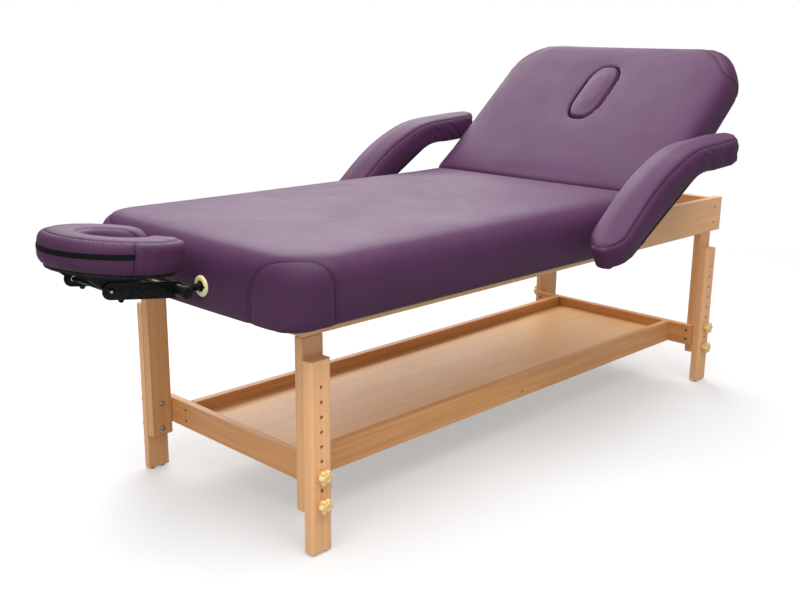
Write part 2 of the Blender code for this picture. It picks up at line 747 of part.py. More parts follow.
def build_hinge(root, tilt, bottom):
    """A strip hinge in the crease: fixed leaf, moving leaf and pin."""
    half = HINGE_LENGTH / 2
    inner = MIDDLE_KNUCKLE_LENGTH / 2
    near_face, far_face = CREASE_HALF_GAP - SEAT_GAP - LEAF_THICKNESS, CREASE_HALF_GAP - SEAT_GAP
    clear = KNUCKLE_RADIUS + RUNNING_GAP
    centre = Vector((HINGE_X, 0, HINGE_Z))
    fixed = add_part("hinge_leaf_fixed", box(
        centre + Vector((-far_face, -half, -LEAF_DROP)), centre + Vector((-near_face, half, -clear)),
    ), root, "black_metal")
    for _, sign in SIDES:
        ends = sorted((sign * (inner + RUNNING_GAP), sign * half))
        join(fixed, box(
            centre + Vector((-far_face, ends[0], -clear - LEAF_THICKNESS)),
            centre + Vector((-near_face, ends[1], 0)),
        ))
        join(fixed, cylinder(
            centre + Vector((0, ends[0], 0)), centre + Vector((0, ends[1], 0)), KNUCKLE_RADIUS,
        ))
    moving = add_part("hinge_leaf_moving", box(
        (near_face, -half, bottom - SEAT_GAP - LEAF_THICKNESS), (far_face, half, -clear),
    ), tilt, "black_metal")
    join(moving, box(
        (near_face, -half, bottom - SEAT_GAP - LEAF_THICKNESS), (LEAF_FLANGE, half, bottom - SEAT_GAP),
    ))
    join(moving, box((near_face, -inner, -clear - LEAF_THICKNESS), (far_face, inner, 0)))
    join(moving, cylinder((0, -inner, 0), (0, inner, 0), KNUCKLE_RADIUS))
    bore = HINGE_PIN_RADIUS + SEAT_GAP
    reach = Vector((0, half + LEAF_DROP, 0))
    cut(fixed, cylinder(centre - reach, centre + reach, bore))
    cut(moving, cylinder(-reach, reach, bore))
    pin = Vector((0, half, 0))
    add_part("hinge_pin", cylinder(centre - pin, centre + pin, HINGE_PIN_RADIUS, 12), root, "steel")


# Stays that hold the backrest

def stay_bolt():
    """Where the clamp bolts of the stays stand in the side rails, as (x, z)."""
    drop = HINGE_Z - (RAIL_TOP - STAY_BOLT_DROP)
    return HINGE_X + math.sqrt(STAY_RADIUS ** 2 - drop ** 2), HINGE_Z - drop


def build_stay(side, sign, tilt, bottom):
    """A slotted quadrant around the hinge, fixed under the board and clamped at the side rail."""
    outer_face = RAIL_INNER - STAY_RAIL_GAP
    middle = sign * (outer_face - STAY_THICKNESS / 2)
    bolt_x, bolt_z = stay_bolt()
    bolt_angle = math.atan2(bolt_z - HINGE_Z, bolt_x - HINGE_X)
    foot_top = bottom - SEAT_GAP
    inner_radius, outer_radius = STAY_RADIUS - STAY_WIDTH / 2, STAY_RADIUS + STAY_WIDTH / 2
    first = -math.asin((-foot_top + STAY_THICKNESS / 4) / inner_radius)
    last = bolt_angle - BACKREST_ANGLE - STAY_TRAVEL_UP - STAY_END
    rim = arc((0, 0), outer_radius, first, last, 24) + arc((0, 0), inner_radius, last, first, 24)
    stay = add_part(f"backrest_stay_{side}", plate(rim, middle, STAY_THICKNESS), tilt, "black_metal")
    slot_inner, slot_outer = STAY_RADIUS - SLOT_HALF_WIDTH, STAY_RADIUS + SLOT_HALF_WIDTH
    slot_start, slot_end = bolt_angle + SLOT_MARGIN, last + STAY_END - SLOT_MARGIN
    slot = arc((0, 0), slot_outer, slot_start, slot_end, 24)
    slot += arc((0, 0), slot_inner, slot_end, slot_start, 24)
    cut(stay, plate(slot, middle, STAY_THICKNESS * 3))
    ends = sorted((sign * outer_face, sign * (outer_face - STAY_FOOT_WIDTH)))
    join(stay, box(
        (STAY_RADIUS - STAY_FOOT_LENGTH / 2, ends[0], foot_top - STAY_THICKNESS),
        (STAY_RADIUS + STAY_FOOT_LENGTH / 2, ends[1], foot_top),
    ))


def build_stay_knobs(root):
    """The star knobs that clamp the stays to the side rails."""
    bolt_x, bolt_z = stay_bolt()
    face = RAIL_INNER - STAY_RAIL_GAP - STAY_THICKNESS - SEAT_GAP
    reach = RAIL_INNER + STAY_BOLT_DEPTH - face
    for side, sign in SIDES:
        build_star_knob(f"stay_knob_{side}", root, (bolt_x, sign * face, bolt_z), -sign, reach)


# Armrests

def armrest_path():
    """Points along the underside of an armrest pad with their directions, from the lower end up."""
    lower = Vector((math.cos(ARMREST_LOWER_ANGLE), 0, math.sin(ARMREST_LOWER_ANGLE)))
    upper = Vector((math.cos(ARMREST_UPPER_ANGLE), 0, math.sin(ARMREST_UPPER_ANGLE)))
    bend = Vector((HINGE_X - ARMREST_BEND_SETBACK, 0, DECK_TOP + ARMREST_BEND_RISE))
    fold = ARMREST_LOWER_ANGLE - ARMREST_UPPER_ANGLE
    tangent = ARMREST_BEND_RADIUS * math.tan(fold / 2)
    tip = bend - lower * ARMREST_LOWER_LENGTH
    normal = Vector((-lower.z, 0, lower.x))
    centre = bend - lower * tangent - normal * ARMREST_BEND_RADIUS
    points = []
    for share in LOWER_STATIONS:
        points.append((tip + lower * (ARMREST_LOWER_LENGTH - tangent) * share, lower))
    for i in range(BEND_STEPS + 1):
        angle = ARMREST_LOWER_ANGLE - fold * i / BEND_STEPS
        outward = Vector((-math.sin(angle), 0, math.cos(angle)))
        points.append((centre + outward * ARMREST_BEND_RADIUS, Vector((math.cos(angle), 0, math.sin(angle)))))
    top = bend + upper * ARMREST_UPPER_LENGTH
    for share in UPPER_STATIONS:
        points.append((top - upper * (ARMREST_UPPER_LENGTH - tangent) * share, upper))
    path = []
    for point, along in points:
        up = Vector((-along.z, 0, along.x))
        path.append((point - up * ARMREST_PAD_THICKNESS, along, up))
    return path


def armrest_pivot():
    """The axis of the armrest bolts, as (x, z)."""
    tip, along, up = armrest_path()[0]
    point = tip + along * ARMREST_PIVOT_REACH
    point -= up * (ARMREST_BOARD_THICKNESS + ARMREST_PIVOT_DROP)
    return point.x, point.z


def armrest_section(half):
    """Half-round-edged section of an armrest pad, as (across, up) points from its near bottom edge."""
    rim = ARMREST_PAD_THICKNESS - ARMREST_CROWN
    side = [(half - ARMREST_DRAW_IN, 0), (half, ARMREST_BULGE_HEIGHT), (half, rim - ARMREST_EDGE)]
    for i in (1, 2, 3):
        angle = math.radians(30 * i)
        side.append((
            half - ARMREST_EDGE * (1 - math.cos(angle)), rim - ARMREST_EDGE * (1 - math.sin(angle)),
        ))
    return side + [(0, ARMREST_PAD_THICKNESS)] + [(-across, up) for across, up in reversed(side)]


def round_share(distance, radius):
    """How much of its full width a round-ended strip has at a distance from its end."""
    short = max(radius - distance, 0) / radius
    return max(math.sqrt(max(1 - short ** 2, 0)), ROUND_END_LEAST)


def build_armrest(side, sign, root):
    """A bent armrest: pad on a board with its lug, and the knobbed bolt it swings on."""
    pivot_x, pivot_z = armrest_pivot()
    middle = sign * (HALF_TABLE + ARMREST_GAP + ARMREST_WIDTH / 2)
    swing = add_pivot(f"armrest_swing_{side}", root, (pivot_x, 0, pivot_z))
    origin = Vector((pivot_x, -middle, pivot_z))
    half = ARMREST_WIDTH / 2
    path = armrest_path()
    first, last = path[0][0], path[-1][0]
    pad_rings, board_rings = [], []
    for point, _, up in path:
        width = round_share(min((point - first).length, (point - last).length), half)
        centre = point - origin
        pad_rings.append([
            centre + Vector((0, across * width, 0)) + up * rise for across, rise in armrest_section(half)
        ])
        reach = (half - ARMREST_BOARD_MARGIN) * width
        seat, under = -SEAT_GAP, -ARMREST_BOARD_THICKNESS
        board_rings.append([
            centre + Vector((0, across, 0)) + up * rise
            for across, rise in ((reach, under), (reach, seat), (-reach, seat), (-reach, under))
        ])
    add_part(f"armrest_pad_{side}", loft(pad_rings), swing, "vinyl")
    board = add_part(f"armrest_board_{side}", loft(board_rings), swing, "black_board")
    inner = abs(middle) - half + ARMREST_BOARD_MARGIN
    lug_middle = sign * (inner + ARMREST_LUG_THICKNESS / 2)
    lean = ARMREST_LOWER_ANGLE
    lug = arc((0, 0), ARMREST_LUG_RADIUS, lean + math.pi, lean + 2 * math.pi, 10)
    rise = ARMREST_PIVOT_DROP + ARMREST_BOARD_THICKNESS / 2
    for along in (ARMREST_LUG_FLARE, -ARMREST_LUG_FLARE):
        lug.append((
            along * math.cos(lean) - rise * math.sin(lean), along * math.sin(lean) + rise * math.cos(lean),
        ))
    join(board, plate(lug, lug_middle, ARMREST_LUG_THICKNESS))
    cut(board, cylinder((0, sign * inner / 2, 0), (0, sign * HALF_TABLE * 2, 0), BOLT_RADIUS + RUNNING_GAP))
    end, _, up = path[STOP_STATION]
    block = end - origin - up * (ARMREST_BOARD_THICKNESS + ARMREST_STOP / 2)
    size = Vector((ARMREST_STOP, ARMREST_STOP, ARMREST_STOP)) / 2
    size.z += ARMREST_BOARD_THICKNESS / 2
    join(board, box(block - size, block + size))
    build_armrest_bolt(side, sign, root, inner)


def build_armrest_bolt(side, sign, root, lug_face):
    """The bolt through an armrest's lug into the deck box, with its shoulder and round knob."""
    pivot_x, pivot_z = armrest_pivot()
    knob_seat = lug_face + ARMREST_LUG_THICKNESS + RUNNING_GAP
    knob_end = knob_seat + BOLT_KNOB_LENGTH
    profile = [
        (0, knob_end), (BOLT_KNOB_RADIUS - BOLT_KNOB_EASE, knob_end),
        (BOLT_KNOB_RADIUS, knob_end - BOLT_KNOB_EASE), (BOLT_KNOB_RADIUS, knob_seat),
        (BOLT_RADIUS, knob_seat), (BOLT_RADIUS, lug_face - RUNNING_GAP),
        (BOLT_SHOULDER_RADIUS, lug_face - RUNNING_GAP), (BOLT_SHOULDER_RADIUS, HALF_TABLE + SEAT_GAP),
        (BOLT_RADIUS, HALF_TABLE + SEAT_GAP), (BOLT_RADIUS, HALF_DECK - BOLT_REACH),
        (0, HALF_DECK - BOLT_REACH),
    ]
    bolt = add_part(f"armrest_bolt_{side}", turned(profile), root, "black_plastic")
    spin(bolt, 20)
    bolt.location = (pivot_x, 0, pivot_z)
    bolt.rotation_euler.x = -sign * math.radians(90)


# Headrest

def build_sockets(root):
    """Flanged sockets through the cushion, deck box and head rail that take the headrest rods."""
    bore = ROD_RADIUS + RUNNING_GAP
    wall = bore + SOCKET_WALL
    face = HEAD_OVERHANG + SEAT_GAP
    profile = [
        (bore, face + SOCKET_FLANGE), (SOCKET_FLANGE_RADIUS - SOCKET_WALL, face + SOCKET_FLANGE),
        (SOCKET_FLANGE_RADIUS, face + SOCKET_FLANGE / 2), (SOCKET_FLANGE_RADIUS, face),
        (wall, face), (wall, -RAIL_THICKNESS - SOCKET_WALL), (bore, -RAIL_THICKNESS - SOCKET_WALL),
        (bore, face + SOCKET_FLANGE),
    ]
    for side, sign in SIDES:
        socket = add_part(f"headrest_socket_{side}", turned(profile), root, "cream_plastic")
        spin(socket)
        socket.location = (0, sign * ROD_SPACING / 2, ROD_HEIGHT)
        socket.rotation_euler.y = math.radians(-90)


def build_fork(slide):
    """The two rods with their hubs, joined by a cross bar behind the axle."""
    bar = Vector((CROSS_BAR_SETBACK, ROD_SPACING / 2, 0))
    fork = add_part("headrest_fork", cylinder(
        (bar.x, -bar.y, 0), (bar.x, bar.y, 0), CROSS_BAR_RADIUS,
    ), slide, "black_metal")
    for _, sign in SIDES:
        rod_y = sign * ROD_SPACING / 2
        join(fork, cylinder((0, rod_y, 0), (ROD_INSERTION - HUB_X, rod_y, 0), ROD_RADIUS))
        join(fork, cylinder((0, sign * HUB_INNER, 0), (0, sign * HUB_OUTER, 0), HUB_RADIUS, 20))
    cut(fork, cylinder((0, -ROD_SPACING, 0), (0, ROD_SPACING, 0), AXLE_BORE))


def build_arm(arm):
    """Two side plates joined by a web, swinging on the axle."""
    quarter = math.radians(90)
    outline = arc((0, 0), ARM_HALF_HEIGHT, -quarter, quarter, 10)
    outline += arc((-ARM_LENGTH, 0), ARM_HALF_HEIGHT, quarter, 3 * quarter, 10)
    plates = [plate(outline, sign * (ARM_INNER + ARM_THICKNESS / 2), ARM_THICKNESS) for _, sign in SIDES]
    part = add_part("headrest_arm", plates[0], arm, "black_metal")
    join(part, plates[1])
    for _, sign in SIDES:
        nub = (-ARM_LENGTH + NUB_SETBACK, sign * ARM_INNER, -ARM_HALF_HEIGHT)
        join(part, cylinder(nub, (nub[0], sign * ARM_OUTER, nub[2]), NUB_RADIUS))
    low, high = -ARM_HALF_HEIGHT + ARM_THICKNESS / 2, -ARM_HALF_HEIGHT + ARM_THICKNESS * 1.5
    join(part, box(
        (-ARM_WEB_START - ARM_WEB_LENGTH, -ARM_INNER - ARM_THICKNESS / 2, low),
        (-ARM_WEB_START, ARM_INNER + ARM_THICKNESS / 2, high),
    ))
    for x in (0, -ARM_LENGTH):
        cut(part, cylinder((x, -ARM_OUTER * 2, 0), (x, ARM_OUTER * 2, 0), AXLE_BORE))


def build_axle(slide, arm):
    """The axle with its round cam knob and nut, and the plain tilt pin at the arm's tip."""
    near = HUB_OUTER + SEAT_GAP
    ease = CAM_KNOB_EASE
    knob = add_part("headrest_cam_knob", turned([
        (0, near + CAM_KNOB_LENGTH), (CAM_KNOB_RADIUS - ease, near + CAM_KNOB_LENGTH),
        (CAM_KNOB_RADIUS, near + CAM_KNOB_LENGTH - ease), (CAM_KNOB_RADIUS, near + ease),
        (CAM_KNOB_RADIUS - ease, near), (AXLE_RADIUS, near), (AXLE_RADIUS, -near),
        (AXLE_NUT_RADIUS, -near), (AXLE_NUT_RADIUS, -near - AXLE_NUT_LENGTH), (0, -near - AXLE_NUT_LENGTH),
    ]), slide, "black_plastic")
    spin(knob)
    knob.rotation_euler.x = math.radians(90)
    seat = ARM_OUTER + SEAT_GAP
    head = AXLE_NUT_LENGTH / 2
    pin = add_part("headrest_tilt_pin", turned([
        (0, seat + head), (PIN_HEAD_FACE, seat + head), (AXLE_NUT_RADIUS, seat), (AXLE_RADIUS, seat),
        (AXLE_RADIUS, -seat), (AXLE_NUT_RADIUS, -seat), (PIN_HEAD_FACE, -seat - head), (0, -seat - head),
    ]), arm, "steel")
    spin(pin, 16)
    pin.location = (-ARM_LENGTH, 0, 0)
    pin.rotation_euler.x = math.radians(90)


def crescent(opening, half_width):
    """Stations of a crescent around the face that opens towards +X, rounded at its two tips.

    Each station is its point, its outward direction and the share of the full width it has.
    """
    centre = Vector((HEADREST_FORWARD, 0, 0))
    tip_turn = half_width / HEADREST_RADIUS
    tips = [opening + tip_turn * share for share in TIP_STATIONS]
    first, last = opening + tip_turn, 2 * math.pi - opening - tip_turn
    angles = tips + [first + (last - first) * i / CRESCENT_STEPS for i in range(CRESCENT_STEPS + 1)]
    angles += [2 * math.pi - angle for angle in reversed(tips)]
    stations = []
    for angle in angles:
        outward = Vector((math.cos(angle), math.sin(angle), 0))
        from_tip = (min(angle, 2 * math.pi - angle) - opening) * HEADREST_RADIUS
        stations.append((centre + outward * HEADREST_RADIUS, outward, round_share(from_tip, half_width)))
    return stations


def pad_section(half_width, half_height, points=16):
    """A pillow-shaped section, as (across, up) points."""
    section = []
    for i in range(points):
        angle = 2 * math.pi * (i + 0.5) / points
        across, up = math.cos(angle), math.sin(angle)
        section.append((
            half_width * math.copysign(abs(across) ** PAD_SQUARENESS, across),
            half_height * math.copysign(abs(up) ** PAD_SQUARENESS, up),
        ))
    return section


def build_headrest_top(platform):
    """Platform, crescent pad and the black band around the pad."""
    platform_top = PLATFORM_RISE + PLATFORM_THICKNESS
    half = HEADREST_PAD_WIDTH / 2
    section = pad_section(half, HEADREST_PAD_THICKNESS / 2)
    widest = max(across for across, _ in section)
    lowest = min(up for _, up in section)
    middle = Vector((0, 0, platform_top + SEAT_GAP - lowest))
    rings = []
    for point, outward, share in crescent(HEADREST_OPENING, half):
        rise = PAD_TIP_RISE + (1 - PAD_TIP_RISE) * share
        rings.append([
            point + outward * across * share + middle + Vector((0, 0, lowest + (up - lowest) * rise))
            for across, up in section
        ])
    add_part("headrest_pad", loft(rings), platform, "vinyl")
    band = []
    for i in range(BAND_STEPS + 1):
        angle = math.pi + BAND_REACH * (2 * i / BAND_STEPS - 1)
        outward = Vector((math.cos(angle), math.sin(angle), 0))
        base = Vector((HEADREST_FORWARD, 0, 0)) + outward * (HEADREST_RADIUS + widest + SEAT_GAP) + middle
        base.z += BAND_RISE - BAND_HEIGHT / 2
        thick, tall = outward * BAND_THICKNESS, Vector((0, 0, BAND_HEIGHT))
        band.append([base, base + thick, base + thick + tall, base + tall])
    add_part("headrest_band", loft(band), platform, "black_webbing")
    plate_half = half - PLATFORM_MARGIN
    low, high = Vector((0, 0, PLATFORM_RISE)), Vector((0, 0, platform_top))
    opening = HEADREST_OPENING + PLATFORM_MARGIN / HEADREST_RADIUS
    board = []
    for point, outward, share in crescent(opening, plate_half):
        reach = outward * plate_half * share
        board.append([point - reach + low, point + reach + low, point + reach + high, point - reach + high])
    add_part("headrest_platform", loft(board), platform, "black_board")


def build_bracket(platform):
    """Two plates under the platform, joined by a front strip, that turn on the tilt pin."""
    top = PLATFORM_RISE - SEAT_GAP
    outline = [(BRACKET_REAR, top), (-BRACKET_FRONT, top), (-BRACKET_FRONT, top - BRACKET_LIP)]
    outline += arc((0, 0), BRACKET_TIP, math.radians(170), math.radians(370), 10)
    outline.append((BRACKET_REAR, top - BRACKET_LIP))
    middle = ARM_INNER - RUNNING_GAP - BRACKET_THICKNESS / 2
    plates = [plate(outline, sign * middle, BRACKET_THICKNESS) for _, sign in SIDES]
    bracket = add_part("headrest_bracket", plates[0], platform, "black_metal")
    join(bracket, plates[1])
    join(bracket, box(
        (-BRACKET_FRONT, -middle, top - BRACKET_THICKNESS), (BRACKET_STRIP - BRACKET_FRONT, middle, top),
    ))
    cut(bracket, cylinder((0, -2 * middle, 0), (0, 2 * middle, 0), AXLE_BORE))


def build_headrest(root):
    """Sockets in the table, and the headrest that slides in them, swings and tilts."""
    build_sockets(root)
    slide = add_pivot("headrest_slide", root, (HUB_X, 0, ROD_HEIGHT))
    build_fork(slide)
    arm = add_pivot("headrest_swing", slide, (0, 0, 0), ARM_RISE)
    build_arm(arm)
    build_axle(slide, arm)
    platform = add_pivot("headrest_tilt", arm, (-ARM_LENGTH, 0, 0), PLATFORM_TILT - ARM_RISE)
    build_bracket(platform)
    build_headrest_top(platform)


def centre_on_floor(root):
    """Moves the table along X so that the middle of its box is over the world origin."""
    bpy.context.view_layer.update()
    graph = bpy.context.evaluated_depsgraph_get()
    reach = []
    for part in PARTS.objects:
        if part.type == "EMPTY":
            continue
        solid = part.evaluated_get(graph)
        reach += [(solid.matrix_world @ vert.co).x for vert in solid.data.vertices]
    root.location.x = -(min(reach) + max(reach)) / 2


def main():
    clear_scene()
    root = add_pivot("table", None, (0, 0, 0))
    build_frame(root)
    build_upper_legs(root)
    build_lower_legs(root)
    build_shelf(root)
    build_main_cushion(root)
    build_backrest(root)
    build_stay_knobs(root)
    for side, sign in SIDES:
        build_armrest(side, sign, root)
    build_headrest(root)
    centre_on_floor(root)


main()
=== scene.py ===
"""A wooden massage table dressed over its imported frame: vinyl pads, beech, hardware and a plain studio.

Metres, +Z up. +X runs from the headrest to the backrest and -Y is the near side.
"""

from __future__ import annotations

import json
import logging
import math
from dataclasses import dataclass
from enum import Enum
from typing import Sequence, Union

import bpy
import numpy as np
from mathutils import Matrix, Vector
from mathutils.bvhtree import BVHTree

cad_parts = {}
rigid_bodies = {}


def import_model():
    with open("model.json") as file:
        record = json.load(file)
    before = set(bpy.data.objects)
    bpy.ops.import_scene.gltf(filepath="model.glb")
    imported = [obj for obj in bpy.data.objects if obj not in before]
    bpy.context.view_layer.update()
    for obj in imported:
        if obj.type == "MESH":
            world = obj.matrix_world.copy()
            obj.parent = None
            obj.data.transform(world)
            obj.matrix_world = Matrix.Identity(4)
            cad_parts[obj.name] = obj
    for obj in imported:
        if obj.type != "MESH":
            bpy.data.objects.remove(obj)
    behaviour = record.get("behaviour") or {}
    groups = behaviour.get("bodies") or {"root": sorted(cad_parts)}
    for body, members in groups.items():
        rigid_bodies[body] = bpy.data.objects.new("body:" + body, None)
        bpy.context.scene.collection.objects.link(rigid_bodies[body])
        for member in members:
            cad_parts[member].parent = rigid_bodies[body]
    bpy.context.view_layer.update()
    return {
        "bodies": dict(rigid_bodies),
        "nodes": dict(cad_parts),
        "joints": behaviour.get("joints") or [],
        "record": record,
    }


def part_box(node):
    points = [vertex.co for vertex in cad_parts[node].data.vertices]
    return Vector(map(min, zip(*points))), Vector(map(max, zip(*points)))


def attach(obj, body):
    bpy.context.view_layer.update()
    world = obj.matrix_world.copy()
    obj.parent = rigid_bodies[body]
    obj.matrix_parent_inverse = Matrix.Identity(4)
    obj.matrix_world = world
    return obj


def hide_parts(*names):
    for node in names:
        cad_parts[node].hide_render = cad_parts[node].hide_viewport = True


LOG = logging.getLogger("massage_table")
PHOTO_WIDTH = 800

# Where the armrests bend: before the backrest's hinge, and above the floor
ELBOW_SETBACK = 0.013
ELBOW_HEIGHT = 0.811

Colour = tuple[float, float, float]
Feed = Union[bpy.types.NodeSocket, float, tuple]


class Side(Enum):
    """The two long sides of the table, with the sign of their Y."""

    NEAR = -1
    FAR = 1

    @property
    def label(self) -> str:
        """The side's word in the names of pieces."""
        return self.name.lower()


class End(Enum):
    """The two ends of the wooden frame."""

    HEAD = "head"
    BACK = "back"


class Grain(Enum):
    """The way the grain of a board runs, as the turn that brings it upright."""

    LENGTHWISE = (0.0, math.radians(-90), 0.0)
    CROSSWISE = (math.radians(90), 0.0, 0.0)
    UPRIGHT = (0.0, 0.0, 0.0)


# Shader building blocks


class ShaderDesk:
    """Adds the nodes of one shader tree and wires them."""

    def __init__(self, tree: bpy.types.NodeTree) -> None:
        """Keeps the tree that the nodes go into.

        Args:
            tree: the material's or the group's node tree.
        """
        self.tree = tree

    def add(self, kind: str, **settings: object) -> bpy.types.Node:
        """Adds a node.

        Args:
            kind: Blender's name of the node type.
            settings: properties to set on it.

        Returns:
            The new node.
        """
        node = self.tree.nodes.new(kind)
        for key, value in settings.items():
            setattr(node, key, value)
        return node

    def feed(self, target: bpy.types.NodeSocket, value: Feed) -> None:
        """Wires a socket into another, or sets its constant.

        Args:
            target: the input socket.
            value: an output socket, or a number or colour.
        """
        if isinstance(value, bpy.types.NodeSocket):
            self.tree.links.new(value, target)
        else:
            target.default_value = value

    def maths(self, operation: str, first: Feed, second: Feed = 0.0) -> bpy.types.NodeSocket:
        """Works out one sum of two values.

        Args:
            operation: the Math node's operation.
            first: the first value.
            second: the second value.

        Returns:
            The result.
        """
        node = self.add("ShaderNodeMath", operation=operation)
        self.feed(node.inputs[0], first)
        self.feed(node.inputs[1], second)
        return node.outputs[0]

    def ease(
        self, value: Feed, low: float, high: float, start: float = 0.0, end: float = 1.0,
    ) -> bpy.types.NodeSocket:
        """Eases a value from one level to another between two limits.

        Args:
            value: what is read.
            low: the value at which the result leaves start.
            high: the value at which it reaches end.
            start: the result below low.
            end: the result above high.

        Returns:
            The eased value.
        """
        node = self.add("ShaderNodeMapRange", interpolation_type="SMOOTHSTEP")
        for socket, given in zip(node.inputs, (value, low, high, start, end)):
            self.feed(socket, given)
        return node.outputs["Result"]

    def noise(
        self, vector: Feed, scale: Feed, detail: float = 2.0, roughness: float = 0.5, distortion: float = 0.0,
    ) -> bpy.types.NodeSocket:
        """Adds a noise pattern.

        Args:
            vector: the coordinates it reads.
            scale: its features per metre.
            detail: its octaves.
            roughness: how strong the finer octaves are.
            distortion: how far it is warped.

        Returns:
            The pattern, about 0 to 1.
        """
        node = self.add("ShaderNodeTexNoise")
        self.feed(node.inputs["Vector"], vector)
        self.feed(node.inputs["Scale"], scale)
        node.inputs["Detail"].default_value = detail
        node.inputs["Roughness"].default_value = roughness
        node.inputs["Distortion"].default_value = distortion
        return node.outputs["Fac"]

    def placed(
        self, vector: Feed, scale: tuple = (1.0, 1.0, 1.0), turn: tuple = (0.0, 0.0, 0.0),
        shift: tuple = (0.0, 0.0, 0.0),
    ) -> bpy.types.NodeSocket:
        """Moves, turns and stretches coordinates.

        Args:
            vector: the coordinates.
            scale: the stretch along each axis.
            turn: the turn about each axis.
            shift: the move along each axis.

        Returns:
            The changed coordinates.
        """
        node = self.add("ShaderNodeMapping")
        self.feed(node.inputs["Vector"], vector)
        node.inputs["Location"].default_value = shift
        node.inputs["Rotation"].default_value = turn
        node.inputs["Scale"].default_value = scale
        return node.outputs["Vector"]

    def mix(self, factor: Feed, first: Feed, second: Feed, blend: str = "MIX") -> bpy.types.NodeSocket:
        """Mixes two colours.

        Args:
            factor: the share of the second colour.
            first: the first colour.
            second: the second colour.
            blend: the Mix node's blend type.

        Returns:
            The mixed colour.
        """
        node = self.add("ShaderNodeMix", data_type="RGBA", blend_type=blend)
        self.feed(node.inputs[0], factor)
        for socket, given in ((node.inputs[6], first), (node.inputs[7], second)):
            self.feed(socket, (*given, 1.0) if isinstance(given, tuple) else given)
        return node.outputs[2]

    def bump(
        self, height: Feed, strength: float, distance: float, normal: Feed | None = None,
    ) -> bpy.types.NodeSocket:
        """Turns a height into a normal.

        Args:
            height: the height pattern.
            strength: how much of it shows.
            distance: its depth in metres.
            normal: a normal that it adds to.

        Returns:
            The bumped normal.
        """
        node = self.add("ShaderNodeBump")
        node.inputs["Strength"].default_value = strength
        node.inputs["Distance"].default_value = distance
        self.feed(node.inputs["Height"], height)
        if normal is not None:
            self.feed(node.inputs["Normal"], normal)
        return node.outputs["Normal"]

    def effect(self, group: bpy.types.NodeTree, **values: Feed) -> bpy.types.Node:
        """Places a shared effect with its own values.

        Args:
            group: the effect's node group.
            values: its inputs, with spaces of their names as underscores.

        Returns:
            The group node.
        """
        node = self.add("ShaderNodeGroup", node_tree=group)
        for key, value in values.items():
            given = (*value, 1.0) if isinstance(value, tuple) and len(value) == 3 else value
            self.feed(node.inputs[key.replace("_", " ")], given)
        return node


